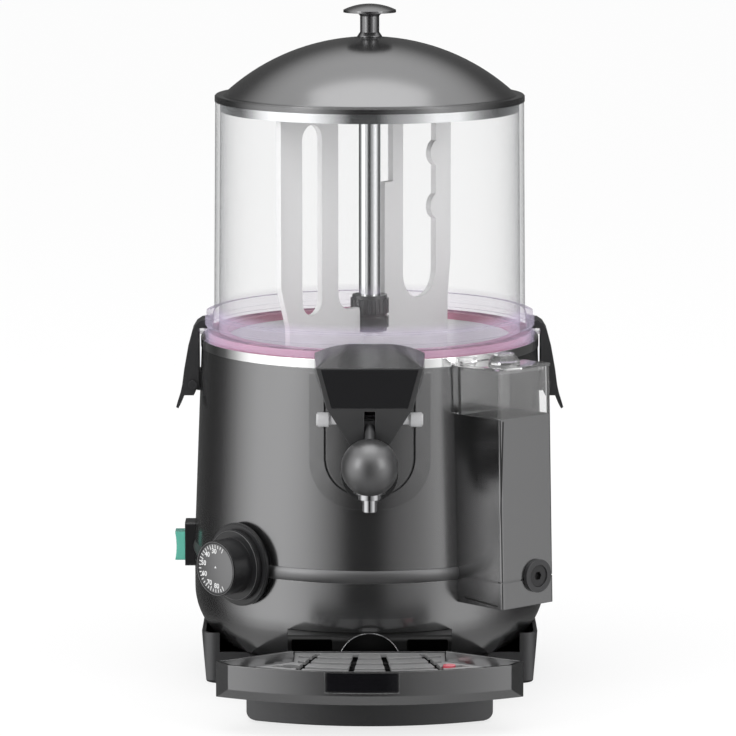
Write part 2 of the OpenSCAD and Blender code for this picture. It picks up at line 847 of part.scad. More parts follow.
module gearbox() {
    color("#7b7d80") difference() {
        up(deck_z - gearbox_h) linear_extrude(gearbox_h) round_rect(gearbox_w, gearbox_d, 8);
        up(deck_z - 24) cylinder(r = shaft_r + run_fit, h = 30);
        for (x = [-1, 1], y = [-1, 1]) translate([x * bolt_x, y * bolt_y, deck_z - 10]) cylinder(r = 2, h = 20);
    }
}

module motor() {
    color("#2c2d2f") up(deck_z - gearbox_h - motor_h) {
        cylinder(r = motor_r - 2, h = motor_h);
        up(8) cylinder(r = motor_r, h = motor_h - 20);
    }
}

// Half section of the pot's inside
module pot_inside() {
    in_r = pot_r - steel_t;
    translate([0, pot_floor_z]) square([in_r - pot_round + steel_t, far]);
    translate([0, pot_floor_z + pot_round - steel_t]) square([in_r, far]);
    translate([in_r - pot_round + steel_t, pot_floor_z + pot_round - steel_t]) circle(pot_round - steel_t);
}

module chocolate_pot() {
    color("#d5d6d8") difference() {
        union() {
            rotate_extrude() difference() {
                union() {
                    translate([0, pot_z]) square([pot_r - pot_round, pot_round]);
                    translate([pot_r - pot_round, pot_z + pot_round]) circle(pot_round);
                    translate([0, pot_z + pot_round]) square([pot_r, rim_top_z - pot_z - pot_round]);
                    translate([0, rim_top_z - steel_t]) square([rim_r, steel_t]);
                }
                pot_inside();
            }
            ring(rim_r - steel_t, rim_r, shell_top_z, rim_top_z);
            up(pot_z + eps) cylinder(r = boss_r, h = pot_boss_z - pot_z);
        }
        up(pot_z - 1) cylinder(r = seal_r, h = pot_boss_z - pot_z - 1);
        cylinder(r = shaft_r + 0.6, h = far);
        outward(0, tap_z) cylinder(r = chamber_r, h = far / 2);
    }
}

module shaft_seal() {
    color("#27282a") ring(shaft_r + run_fit, seal_r, pot_z + 1, pot_boss_z - 2);
}

/* ---- Bowl and lid ---- */

module bowl_gasket() {
    color("#c2506b") ring(gasket_in_r, gasket_out_r, rim_top_z, rim_top_z + gasket_h);
}

// Half section of the bowl: its wall and the two rings of its flange
module bowl_section() {
    seat_z = rim_top_z + gasket_h;
    waist = 2;
    difference() {
        union() {
            polygon([[bowl_r - bowl_wall, seat_z], [bowl_r, seat_z], [bowl_r - bowl_taper, bowl_top_z],
                [bowl_r - bowl_taper - bowl_wall, bowl_top_z]]);
            translate([bowl_r - 1, seat_z]) square([flange_r - waist - bowl_r + 1, flange_top_z - seat_z - 1]);
            translate([gasket_out_r + seat_gap, bowl_z])
                square([flange_r - waist - gasket_out_r - seat_gap, seat_z - bowl_z + 1]);
            translate([flange_r - waist - eps, bowl_z]) square([waist + eps, 7]);
            translate([flange_r - waist - eps, flange_top_z - 9]) square([waist - 0.5, 8]);
            translate([bowl_r - 1, flange_top_z - 2]) square([5, 2]);
        }
        translate([flange_r + 2.6, bowl_z + 1]) circle(3.4, $fn = 48);
    }
}

module bowl() {
    color("#dfe4ee", 0.35) difference() {
        union() {
            rotate_extrude() bowl_section();
            for (x = [-1, 1]) translate([x * (bowl_r + lug_x) / 2, 0, (bowl_z + 2 + lug_top_z) / 2])
                cube([lug_x - bowl_r, 2 * lug_half_w, lug_top_z - bowl_z - 2], center = true);
        }
        for (x = [-1, 1]) translate([x * (bowl_r + 0.6 + 10), 0, lug_top_z + 10])
            cube([20, latch_w + 4, 20], center = true);
        ring(bowl_r - bowl_wall - 20, gasket_out_r + seat_gap, bowl_z - 5, rim_top_z + gasket_h);
    }
}

module lid_dome() {
    pad_r = 12;
    color("#4b4c4e") difference() {
        union() {
            rotate_extrude() {
                difference() {
                    intersection() {
                        translate([0, dome_mid_z]) circle(dome_r);
                        translate([0, dome_base_z]) square([far, far]);
                    }
                    translate([0, dome_mid_z]) circle(dome_r - dome_wall);
                    translate([-far, -far / 2]) square([far, 3 * far]);
                }
                translate([dome_base_r - 10, bowl_top_z]) square([10, lid_rim_h + 0.5]);
                translate([dome_base_r - 1, bowl_top_z]) square([lid_ledge + 1, lid_rim_h - 0.8]);
                translate([dome_base_r - 1, bowl_top_z]) square([lid_ledge + 0.2, lid_rim_h]);
            }
            up(dome_top_z - dome_wall - 2) cylinder(r = pad_r, h = dome_wall + 2 - 0.2);
        }
        up(dome_top_z - 20) cylinder(r = 2.6, h = 40);
        ring(lid_stem_r + 1, lid_stem_r + 1.4, dome_top_z - 0.2, dome_top_z + 1);
    }
}

module lid_skirt() {
    color("#cfd0d2") {
        ring(lid_in_r - 1.2, lid_in_r, bowl_top_z - lid_skirt_h, bowl_top_z);
        ring(lid_in_r - 6, lid_in_r, bowl_top_z - 1, bowl_top_z);
    }
}

module lid_knob() {
    cap_rise = 5;
    cap_r = (lid_knob_r * lid_knob_r + cap_rise * cap_rise) / (2 * cap_rise);
    top_z = dome_top_z + lid_knob_h;
    head_z = top_z - lid_head_h;
    color("#3c3d3f") difference() {
        rotate_extrude() {
            translate([0, dome_top_z]) square([lid_stem_r, lid_knob_h - lid_head_h + 1]);
            polygon([[lid_stem_r - 1, dome_top_z], [lid_stem_r + 2.2, dome_top_z], [lid_stem_r + 2.2, dome_top_z + 0.8],
                [lid_stem_r, dome_top_z + 4], [lid_stem_r - 1, dome_top_z + 4]]);
            polygon([[lid_stem_r - 1, head_z - 3], [lid_stem_r, head_z - 3], [lid_stem_r + 3, head_z + 0.5],
                [lid_stem_r - 1, head_z + 0.5]]);
            intersection() {
                translate([0, top_z - cap_r]) circle(cap_r);
                translate([0, head_z]) square([lid_knob_r, lid_head_h + 1]);
            }
        }
        up(dome_top_z - 1) cylinder(r = 2.5, h = 16);
    }
}

module lid_screw() {
    color("#b9bbbd") {
        up(dome_top_z - dome_wall - 4.5) cylinder(r = 5, h = 2.5);
        up(dome_top_z - dome_wall - 3) cylinder(r = 2.5, h = dome_wall + 3 + 14);
    }
}

/* ---- Stirrer ---- */

module drive_shaft() {
    shaft_low_z = deck_z - 23;
    color("#b0b2b4") up(shaft_low_z)
        cylinder(r = shaft_r, h = bowl_top_z + 2 - shaft_low_z);
}

module shaft_tube() {
    color("#d8d9db") ring(shaft_r, shaft_tube_r, hub_top_z, bowl_top_z - 2);
}

module stirrer_hub() {
    grooves = 24;
    color("#2b2c2e") difference() {
        union() {
            ring(shaft_r, hub_r - 1.5, hub_z, hub_top_z);
            ring(shaft_r, hub_r, hub_z + 3, hub_z + 12);
            ring(shaft_r, hub_r, hub_z + 15, hub_top_z - 3);
        }
        for (i = [0 : grooves - 1]) rotate([0, 0, i * 360 / grooves])
            translate([hub_r + 0.3, 0, hub_z + 15]) cylinder(r = 1, h = hub_h, $fn = 24);
    }
}

// Outline of the wings, drawn across the shaft and along it
module paddle_outline() {
    corner = 25;
    left_bar = 27;
    slot_w = 26;
    inner_bar = 21;
    left_in = paddle_left_r - left_bar - slot_w - inner_bar;
    right_bar = 21;
    right_in = 42;
    step_z = paddle_gap_z + 101;
    bump_z = [paddle_gap_z + 75, paddle_gap_z + 120];
    difference() {
        union() {
            translate([-paddle_pot_r, paddle_low_z + corner])
                square([2 * paddle_pot_r - 4, hub_top_z - paddle_low_z - corner]);
            translate([-paddle_pot_r + corner, paddle_low_z]) square([2 * (paddle_pot_r - corner) - 4, corner + eps]);
            translate([-paddle_pot_r + corner, paddle_low_z + corner]) circle(corner);
            translate([paddle_pot_r - 4 - corner, paddle_low_z + corner]) circle(corner);
            polygon([[-paddle_left_r, paddle_gap_z + 26], [-paddle_pot_r, paddle_gap_z - 8],
                [0, paddle_gap_z - 8], [0, paddle_top_z], [-paddle_left_r, paddle_top_z]]);
            polygon([[paddle_right_r, paddle_gap_z + 30], [paddle_pot_r - 4, paddle_gap_z - 4],
                [0, paddle_gap_z - 8], [0, paddle_top_z], [paddle_right_r, paddle_top_z]]);
        }
        // the slot in the left wing
        translate([-paddle_left_r + left_bar + slot_w / 2, 0]) {
            translate([-slot_w / 2, paddle_gap_z + slot_w / 2])
                square([slot_w, paddle_top_z - 10 - paddle_gap_z - slot_w]);
            translate([0, paddle_gap_z + slot_w / 2]) circle(slot_w / 2);
            translate([0, paddle_top_z - 10 - slot_w / 2]) circle(slot_w / 2);
        }
        // the gap between the left wing and the shaft
        translate([-left_in, paddle_gap_z + 15]) square([left_in - shaft_tube_r + 20, far]);
        translate([-left_in + 15, paddle_gap_z]) square([left_in, 16]);
        translate([-left_in + 15, paddle_gap_z + 15]) circle(15);
        // the room round the shaft tube, and the step in the right wing's inner bar
        translate([-shaft_tube_r - 8, paddle_gap_z - 2]) square([2 * shaft_tube_r + 16, far]);
        translate([0, step_z]) square([right_in - 14, far]);
        // the gap in the right wing
        difference() {
            union() {
                translate([right_in, paddle_gap_z + 22])
                    square([paddle_right_r - right_bar - right_in, far]);
                translate([right_in + 22, paddle_gap_z]) square([paddle_right_r - right_bar - right_in - 44, 23]);
                for (x = [right_in + 22, paddle_right_r - right_bar - 22])
                    translate([x, paddle_gap_z + 22]) circle(22);
            }
            for (z = bump_z) translate([paddle_right_r - right_bar + 4, z]) circle(11);
        }
        // the room for the pot's boss, for the sleeve and for the hub
        translate([-boss_r - boss_gap, 0]) square([2 * (boss_r + boss_gap), pot_boss_z + boss_gap]);
        translate([-sleeve_r + 1, 0]) square([2 * sleeve_r - 2, far]);
        translate([-hub_r - seat_gap, hub_z]) square([2 * (hub_r + seat_gap), far]);
    }
}

module stirrer_paddle() {
    color("#e2e3e4") {
        ring(shaft_r, sleeve_r, pot_boss_z + 3, hub_z);
        rotate([0, 0, paddle_angle]) intersection() {
            front_extrude(-paddle_t / 2, paddle_t / 2) paddle_outline();
            translate([-far / 2, -far / 2, 0]) cube([far, far, far * 2]);
        }
    }
}

module stirrer_nut() {
    color("#c9cacc") {
        up(bowl_top_z - 2) difference() {
            cylinder(r = shaft_tube_r + 1.5, h = 9, $fn = 6);
            up(-1) cylinder(r = shaft_r, h = 5);
        }
    }
}

/* ---- Tap ---- */

// Upright panel with round lower corners
module u_outline(half_w, low_z, high_z, r) {
    translate([-half_w, low_z + r]) square([2 * half_w, high_z - low_z - r]);
    translate([-half_w + r, low_z]) square([2 * (half_w - r), r + eps]);
    for (x = [-1, 1]) translate([x * (half_w - r), low_z + r]) circle(r);
}

module tap_panel() {
    groove_w = 2;
    groove_half_w = panel_half_w - 12;
    groove_low_z = panel_low_z + 11;
    high_z = shell_top_z - 3;
    color("#55565a") difference() {
        intersection() {
            front_extrude(100, far) u_outline(panel_half_w, panel_low_z, high_z, 38);
            body_envelope(panel_t);
        }
        body_envelope();
        difference() {
            front_extrude(100, far) difference() {
                u_outline(groove_half_w, groove_low_z, high_z - 5, 30);
                u_outline(groove_half_w - groove_w, groove_low_z + groove_w, high_z, 28);
            }
            body_envelope(panel_t - 2.5);
        }
        outward(0, tap_z) cylinder(r = spigot_r + seat_gap, h = far / 2);
    }
}

module valve_body() {
    color("#3f4042") difference() {
        union() {
            difference() {
                outward(0, tap_z) cylinder(r = barrel_r, h = barrel_face);
                body_envelope(panel_t);
            }
            outward(0, tap_z) up(pot_r) cylinder(r = spigot_r, h = barrel_face - pot_r);
            translate([0, -nozzle_y, chamber_z]) cylinder(r = chamber_out_r, h = cap_z - chamber_z);
            for (x = [-1, 1]) translate([x * (ear_in_x + ear_out_x) / 2, 0, 0])
                side_extrude(-(ear_out_x - ear_in_x) / 2, (ear_out_x - ear_in_x) / 2) {
                    translate([-pivot_y, pivot_z]) circle(pivot_r + 3);
                    translate([-pivot_y - pivot_r - 3, tap_z + 10])
                        square([2 * (pivot_r + 3), pivot_z - tap_z - 10]);
                }
        }
        outward(0, tap_z) up(pot_r - 1) cylinder(r = chamber_r, h = nozzle_y - pot_r + 1);
        translate([0, -nozzle_y, chamber_z + seat_t]) cylinder(r = chamber_r + run_fit, h = far);
        translate([0, -nozzle_y, chamber_z - 1]) cylinder(r = outlet_r, h = far);
        translate([0, -pivot_y, pivot_z]) rotate([0, 90, 0])
            cylinder(r = pivot_r, h = far, center = true);
    }
}

module outlet_seal() {
    color("#27282a") difference() {
        outward(0, tap_z) up(tank_r) cylinder(r = spigot_r + 5, h = 6);
        outward(0, tap_z) cylinder(r = spigot_r, h = far / 2);
        cylinder(r = tank_r, h = far);
    }
}

module nozzle() {
    collar_h = 5;
    color("#232426") translate([0, -nozzle_y, chamber_z - collar_h - nozzle_len]) difference() {
        union() {
            cylinder(r = nozzle_r, h = nozzle_len + eps);
            up(nozzle_len) cylinder(r = nozzle_r + 3.3, h = collar_h);
        }
        up(-1) cylinder(r = outlet_r, h = far);
    }
}

module valve_cap() {
    color("#2a2b2d") translate([0, -nozzle_y, cap_z]) difference() {
        cylinder(r = chamber_out_r, h = cap_t);
        up(-1) cylinder(r = rod_r + run_fit, h = cap_t + 2);
    }
}

module valve_piston() {
    foot_z = chamber_z + seat_t + 1.5;
    eye_h = 9;
    eye_front = 5.6;
    color("#d9dadc") translate([0, -nozzle_y, 0]) difference() {
        union() {
            up(foot_z) cylinder(r = chamber_r - 1, h = 3.5);
            up(foot_z) cylinder(r = rod_r, h = pivot_z - foot_z);
            up(guide_z) cylinder(r = chamber_r, h = guide_h);
            translate([0.5 - lever_in_x, -eye_front, pivot_z - eye_h / 2])
                cube([2 * lever_in_x - 1, eye_front + 6.5, eye_h]);
        }
        up(pivot_z) {
            cube([far, 4, 2 * link_r + 0.8], center = true);
            for (y = [-2, 2]) translate([0, y, 0]) rotate([0, 90, 0])
                cylinder(r = link_r + 0.4, h = far, center = true);
        }
    }
}

module valve_washer() {
    color("#27282a") translate([0, -nozzle_y, 0]) ring(outlet_r, chamber_r - 2, chamber_z + seat_t, chamber_z + seat_t + 1.5);
}

module valve_spring() {
    wire_r = 0.5;
    turns = 4;
    pitch = (spring_h - 2 * wire_r) / turns;
    color("#c4c6c8") translate([0, -nozzle_y, guide_z + guide_h])
        for (i = [0 : turns]) up(wire_r + i * pitch)
            rotate_extrude() translate([rod_r + 2.5, 0]) circle(wire_r, $fn = 16);
}

module tap_lever() {
    reach = stem_root_y + 3;
    color("#3b3c3e") difference() {
        union() {
            for (x = [-1, 1]) translate([x * (lever_in_x + lever_out_x) / 2, 0, 0])
                side_extrude(-(lever_out_x - lever_in_x) / 2, (lever_out_x - lever_in_x) / 2) {
                    translate([-pivot_y, pivot_z]) circle(pivot_r + 3.5);
                    translate([-reach, pivot_z - 4]) square([reach - pivot_y, 8]);
                }
            side_extrude(-lever_out_x, lever_out_x)
                translate([-reach, pivot_z - 4]) square([5, 8]);
            translate([0, -nozzle_y, pivot_z]) rotate([0, 90, 0])
                cylinder(r = link_r, h = 2 * lever_out_x, center = true);
            translate([0, -ball_y, ball_z]) rotate([-stem_angle, 0, 0])
                up(3) cylinder(r = stem_r, h = stem_len - 3);
        }
        translate([0, -pivot_y, pivot_z]) rotate([0, 90, 0])
            cylinder(r = pivot_r + run_fit, h = far, center = true);
    }
}

module tap_ball() {
    color("#4d4e50") translate([0, -ball_y, ball_z]) difference() {
        sphere(ball_r);
        rotate([-stem_angle, 0, 0]) up(2.8) cylinder(r = stem_r + 0.02, h = far);
    }
}

module pivot_pin() {
    head_h = 11;
    head_x = 31.5;
    color("#e6e7e8") translate([0, -pivot_y, pivot_z]) rotate([0, 90, 0]) {
        cylinder(r = pivot_r, h = 2 * head_x + 2, center = true);
        for (x = [-1, 1]) up(x * (head_x + head_h / 2)) {
            cylinder(r = pin_head_r, h = head_h - 2, center = true);
            cylinder(r = pin_head_r - 1, h = head_h, center = true);
        }
    }
}

// Outline of the hood where it meets the panel, drawn in by an inset
module hood_back(inset) {
    rise = 11;
    arch_r = (hood_half_w * hood_half_w + rise * rise) / (2 * rise);
    arch_z = hood_front_z + 13 - arch_r;
    arch_half = asin(hood_half_w / arch_r);
    w = hood_half_w - inset;
    polygon(concat(
        [[-w, hood_front_z - 16], [-28 + inset, pivot_z + 2], [-20 + inset, hood_low_z + 6],
         [20 - inset, hood_low_z + 6], [28 - inset, pivot_z + 2], [w, hood_front_z - 16]],
        [for (i = [6 : -1 : -6]) let (a = i * arch_half / 6)
            [(arch_r - inset) * sin(a) * w / (hood_half_w - inset * sin(arch_half)), arch_z + (arch_r - inset) * cos(a)]]));
}

// Outline of the hood's front, in the sloping plane of its face
module hood_face(inset) {
    top = (hood_front_z - hood_low_z) / cos(face_tilt);
    polygon([[-16 + inset, inset], [16 - inset, inset], [34 - inset, plate_low], [42 - inset, top - inset],
        [-42 + inset, top - inset], [-34 + inset, plate_low]]);
}

// Puts children on the sloping face of the hood: +Y runs up it and +Z out of it
module on_hood_face() {
    translate([0, -hood_low_y, hood_low_z]) rotate([90 + face_tilt, 0, 0]) children();
}

module hood_block(inset) {
    hull() {
        front_extrude(hood_back_y, hood_back_y + 1) hood_back(inset);
        on_hood_face() up(-1 - inset) linear_extrude(1) hood_face(inset);
    }
}

module plate_outline(grow) {
    low = plate_low_half_w + grow;
    high = plate_high_half_w + grow;
    polygon([[-low, plate_low - grow], [low, plate_low - grow], [high, plate_high + grow],
        [-high, plate_high + grow]]);
}

module tap_hood() {
    color("#4b4c4f") difference() {
        hood_block(0);
        hood_block(hood_wall);
        up(hood_low_z - 20) cylinder(r = rim_r + 0.8, h = far);
        body_envelope(panel_t);
        translate([-chamber_out_r - 1, -nozzle_y - chamber_out_r - 1, hood_low_z - 10])
            cube([2 * chamber_out_r + 2, far, 22]);
        translate([0, -pivot_y, pivot_z]) rotate([0, 90, 0])
            cylinder(r = pivot_r + 0.3, h = far, center = true);
        on_hood_face() translate([-stem_r - 0.4, -5, -20]) cube([2 * stem_r + 0.8, plate_low + 2, 30]);
        on_hood_face() up(-1.2) linear_extrude(5) plate_outline(0.2);
    }
}

module front_plate() {
    color("#0b0b0c") on_hood_face() up(-1.2) linear_extrude(1.6) plate_outline(0);
}

/* ---- Water filler ---- */

// Plan of the filler, in the frame turned to its side of the body
module filler_plan(inset, back) {
    r = 2;
    w = filler_w - 2 * inset;
    len = filler_face - inset - back;
    translate([0, -filler_face + inset + len / 2]) {
        square([w - 2 * r, len], center = true);
        translate([0, r / 2]) square([w, len - r], center = true);
        for (x = [-1, 1]) translate([x * (w / 2 - r), -len / 2 + r]) circle(r, $fn = 32);
    }
}

// Turns children to the filler's side of the body and leans them
module filler_frame() {
    rotate([0, 0, filler_angle]) translate([0, -filler_face, filler_mid_z]) rotate([-filler_lean, 0, 0])
        translate([0, filler_face, -filler_mid_z]) children();
}

module filler_housing() {
    seam = 0.6;
    color("#545558") difference() {
        filler_frame() difference() {
            up(filler_low_z) linear_extrude(filler_top_z - filler_low_z) filler_plan(0, 120);
            up(band_z - seam) linear_extrude(2 * seam) difference() {
                filler_plan(-2, 110);
                filler_plan(seam, 110);
            }
            up(filler_top_z - 2 * filler_wall)
                linear_extrude(far) filler_plan(filler_wall, window_back + window_wall);
            outward(0, drain_z) translate([drain_x, 0, filler_face - filler_wall - 5]) cylinder(r = drain_r - 2.5, h = 20);
        }
        difference() {
            filler_frame() up(filler_low_z + filler_wall)
                linear_extrude(filler_top_z - 2 * filler_wall - filler_low_z) filler_plan(filler_wall, 130);
            body_envelope(filler_wall);
        }
        outward(filler_angle, pipe_z) cylinder(r = pipe_r + seat_gap, h = filler_face - 20);
        body_envelope();
    }
}

module filler_pipe() {
    color("#c3c5c7") outward(filler_angle, pipe_z) up(tank_r - 5) difference() {
        cylinder(r = pipe_r, h = shell_r(pipe_z) - tank_r + filler_wall + 7);
        up(-1) cylinder(r = pipe_r - 1, h = 60);
    }
}

module filler_window() {
    color("#e6eaee", 0.4) filler_frame() difference() {
        up(window_z) linear_extrude(window_h) filler_plan(0, window_back);
        up(window_z - 1) linear_extrude(window_h + 2) filler_plan(window_wall, window_back + window_wall);
    }
}

module filler_lid() {
    lid_t = 2;
    fit = window_wall + slide_gap;
    knob_y = (filler_face + window_back) / 2;
    color("#e6eaee", 0.4) filler_frame() {
        up(window_top_z) linear_extrude(lid_t) filler_plan(-0.5, window_back - 0.3);
        up(window_top_z - 3) linear_extrude(3.5) difference() {
            filler_plan(fit, window_back + fit);
            filler_plan(fit + 1.5, window_back + fit + 1.5);
        }
        translate([0, -knob_y, window_top_z + lid_t / 2]) rotate_extrude() polygon([[0, 0], [filler_knob_r, 0],
            [filler_knob_r, 3], [filler_knob_r - 2.5, filler_knob_h - 2],
            [filler_knob_r - 5, filler_knob_h + lid_t / 2], [0, filler_knob_h + lid_t / 2]]);
    }
}

module drain_collar() {
    color("#39393b") filler_frame() outward(0, drain_z) translate([drain_x, 0, filler_face]) difference() {
        union() {
            cylinder(r = drain_r, h = 3);
            up(-filler_wall - 3) cylinder(r = drain_r - 2.5, h = filler_wall + 4);
        }
        up(-20) cylinder(r = drain_r - 4.4, h = 40);
    }
}

module drain_plug() {
    plug_r = drain_r - 4.4 - run_fit;
    color("#4a4a4d") filler_frame() outward(0, drain_z) translate([drain_x, 0, filler_face]) difference() {
        up(-filler_wall - 2.5) cylinder(r = plug_r, h = filler_wall + 4.5);
        up(-1.5) cylinder(r = 3.6, h = 10, $fn = 6);
    }
}

/* ---- Thermostat and switch ---- */

module thermostat_bezel() {
    color("#2b2b2d") difference() {
        outward(-dial_angle, dial_z) {
            up(120) cylinder(r = bezel_r - 7, h = bezel_face - 121);
            up(bezel_face - bezel_t) cylinder(r = bezel_r, h = bezel_t - 1);
            up(bezel_face - bezel_t) cylinder(r = bezel_r - 1, h = bezel_t);
        }
        band_envelope();
        spindle_hole(spindle_r + 1);
    }
}

module thermostat_knob() {
    base = bezel_face + knob_gap;
    flange_t = 4.5;
    color("#1f1f21") outward(-dial_angle, dial_z) difference() {
        union() {
            up(base) cylinder(r = dial_flange_r, h = flange_t - 1);
            up(base) cylinder(r = dial_flange_r - 1, h = flange_t);
            up(base) cylinder(r = dial_r, h = dial_depth - 1);
            up(base) cylinder(r = dial_r - 1, h = dial_depth);
        }
        up(base - 1) cylinder(r = spindle_r, h = dial_depth - 6);
        up(base + dial_depth - 0.6) cylinder(r = dial_r - 2.2, h = 5);
    }
}

module thermostat_spindle() {
    color("#b4b6b8") outward(-dial_angle, dial_z) up(tongue_r - 14)
        cylinder(r = spindle_r, h = bezel_face + dial_depth - 8 - tongue_r + 14);
}

module thermostat_body() {
    color("#d8d4c8") difference() {
        thermostat_room(0);
        outward(-dial_angle, dial_z) up(tongue_r - 16)
            cylinder(r = spindle_r + run_fit, h = 60);
    }
}

module switch_housing() {
    depth = 22;
    color("#222224") difference() {
        union() {
            difference() {
                outward(-90, switch_z) up(120) linear_extrude(switch_face - 120) round_rect(switch_w, switch_h, 2);
                body_envelope();
            }
            outward(-90, rocker_z) up(switch_face - depth) linear_extrude(depth - 1)
                square([rocker_w + 6 - 2 * seat_gap, rocker_h + 6 - 2 * seat_gap], center = true);
        }
        outward(-90, rocker_z) up(rocker_pivot - 7) linear_extrude(40)
            square([rocker_w + 1, rocker_h + 2.5], center = true);
        outward(-90, rocker_z) up(rocker_pivot) rotate([0, 90, 0])
            cylinder(r = 1.5 + run_fit, h = rocker_w + 5, center = true);
    }
}

module switch_rocker() {
    color("#1c9a78", 0.8) outward(-90, rocker_z) up(rocker_pivot) {
        rotate([90, 0, 90]) up(-rocker_w / 2) linear_extrude(rocker_w) intersection() {
            translate([-rocker_h / 2, -4]) square([rocker_h, switch_face + rocker_proud - rocker_pivot + 4]);
            difference() {
                translate([-far, -far]) square([2 * far, 2 * far]);
                translate([0, switch_face + rocker_proud - rocker_pivot - 1 + rocker_dish_r])
                    circle(rocker_dish_r);
            }
        }
        rotate([0, 90, 0]) cylinder(r = 1.5, h = rocker_w + 4, center = true);
    }
}

/* ---- Latches ---- */

// Side view of the right latch, in X and Z from its pivot
module latch_outline() {
    polygon([[hook_x, latch_up], [-7.5, latch_up - 0.8], [-3, latch_up - 3.8], [0.1, latch_up - 9],
        [3.5, 32.9], [7, 13.5], [8.8, 0], [10.5, -7.8], [14, -18.9], [12.1, -20], [9.5, -15], [7, -9],
        [-0.8, -9], [-5, 0], [-5, hook_z], [hook_x, hook_z]]);
}

// The space inside the latch's channel
module latch_room() {
    t = latch_t;
    polygon([[hook_x + t, latch_up - t], [-8.1, latch_up - 0.8 - t], [-4.6, latch_up - 4.8], [-1.9, latch_up - 9.4],
        [1.5, 32.4], [5, 13.2], [6.8, -0.4], [7.4, -30], [-40, -30], [-40, hook_z - 3.2], [hook_x + t, hook_z - 3.2]]);
}

module latch() {
    translate([latch_x, 0, latch_z]) difference() {
        translate([0, latch_w / 2, 0]) rotate([90, 0, 0]) linear_extrude(latch_w) latch_outline();
        translate([0, latch_w / 2 - latch_t, 0]) rotate([90, 0, 0])
            linear_extrude(latch_w - 2 * latch_t) latch_room();
        rotate([90, 0, 0]) cylinder(r = latch_pin_r + run_fit, h = far, center = true);
    }
}

module latch_left() {
    color("#2e2e30") mirror([1, 0, 0]) latch();
}

module latch_right() {
    color("#2e2e30") latch();
}

module latch_bracket() {
    eye_r = 4.5;
    half_w = latch_w / 2 - latch_t - 0.5;
    difference() {
        union() {
            for (y = [-1, 1]) translate([latch_x, y * (half_w - 1.5), latch_z]) rotate([90, 0, 0])
                up(-1.5) linear_extrude(3) {
                    circle(eye_r);
                    translate([-12, -eye_r]) square([12, 2 * eye_r]);
                }
            translate([latch_x - 12, -half_w, latch_z - 5]) cube([12 - latch_pin_r - 1, 2 * half_w, 16]);
        }
        body_envelope();
        translate([latch_x, 0, latch_z]) rotate([90, 0, 0]) cylinder(r = latch_pin_r, h = far, center = true);
    }
}

module latch_brackets() {
    color("#3a3a3c") {
        latch_bracket();
        mirror([1, 0, 0]) latch_bracket();
    }
}

module latch_pins() {
    color("#b9bbbd") for (x = [-1, 1]) translate([x * latch_x, 0, latch_z]) rotate([90, 0, 0]) {
        cylinder(r = latch_pin_r, h = latch_w + 2, center = true);
        for (z = [-1, 1]) up(z * (latch_w / 2 + 1.2)) cylinder(r = latch_pin_r + 1.2, h = 1.6, center = true);
    }
}

/* ---- Drip tray ---- */

// Plan of the tray: a round front, and a neck that meets the dock
module tray_plan(inset) {
    half_w = tray_w / 2 - inset;
    corner = tray_corner;
    front_y = sqrt(pow(tray_r - inset, 2) - pow(half_w - corner, 2));
    intersection() {
        circle(tray_r - inset, $fn = 240);
        polygon([[-half_w, -tray_wide_y], [-half_w + corner, -front_y], [-half_w + corner, -tray_r - 1],
            [half_w - corner, -tray_r - 1], [half_w - corner, -front_y], [half_w, -tray_wide_y],
            [neck_half_w - inset, -tray_neck_y - inset / 2], [neck_half_w - inset, -tray_back - inset],
            [-neck_half_w + inset, -tray_back - inset], [-neck_half_w + inset, -tray_neck_y - inset / 2]]);
    }
}

// The tray's outside: its front edge is chamfered underneath
module tray_block() {
    intersection() {
        up(tray_z) linear_extrude(tray_h) tray_plan(0);
        rotate_extrude($fn = 240) polygon([[0, tray_z - 1], [tray_r - tray_chamfer - 1, tray_z - 1],
            [tray_r, tray_z + tray_chamfer], [tray_r, tray_top_z + 1], [0, tray_top_z + 1]]);
    }
}

module drip_tray() {
    tongue_w = dock_slot_w - 10;
    tongue_x = dock_w / 2 - base_wall - dock_slot_w / 2;
    ledge_w = 3;
    inset_x = -6;
    inset_low_z = tray_z + tray_chamfer + 2.5;
    color("#47484b") difference() {
        union() {
            tray_block();
            for (x = [-1, 1]) translate([x * tongue_x - tongue_w / 2, -tray_back - 2, tray_z + 8])
                cube([tongue_w, 16, 4]);
        }
        up(tray_floor_z) linear_extrude(far) tray_plan(tray_wall + tray_chamfer);
        up(tray_z + tray_chamfer) linear_extrude(far) tray_plan(tray_wall + ledge_w);
        up(grille_low_z) linear_extrude(far) tray_plan(tray_wall);
        translate([float_x, -float_y, tray_floor_z]) cylinder(r = float_r + 1 + slide_gap, h = far);
        // the neck's walls end over the grille, so that the dock's face is in sight
        translate([-neck_half_w - 1, -tray_neck_y, grille_top_z + 1]) cube([2 * neck_half_w + 2, tray_neck_y, far]);
        // the seat of the inset on the front
        intersection() {
            translate([inset_x - inset_w / 2, -tray_r - 1, inset_low_z]) cube([inset_w, 60, tray_h]);
            ring(tray_r - 1, tray_r + 5, 0, far, $fn = 240);
        }
    }
}

module tray_float() {
    color("#c8302c") translate([float_x, -float_y, tray_floor_z]) {
        cylinder(r = float_r + 1, h = 5);
        cylinder(r = float_r, h = grille_top_z + 1 - tray_floor_z);
    }
}

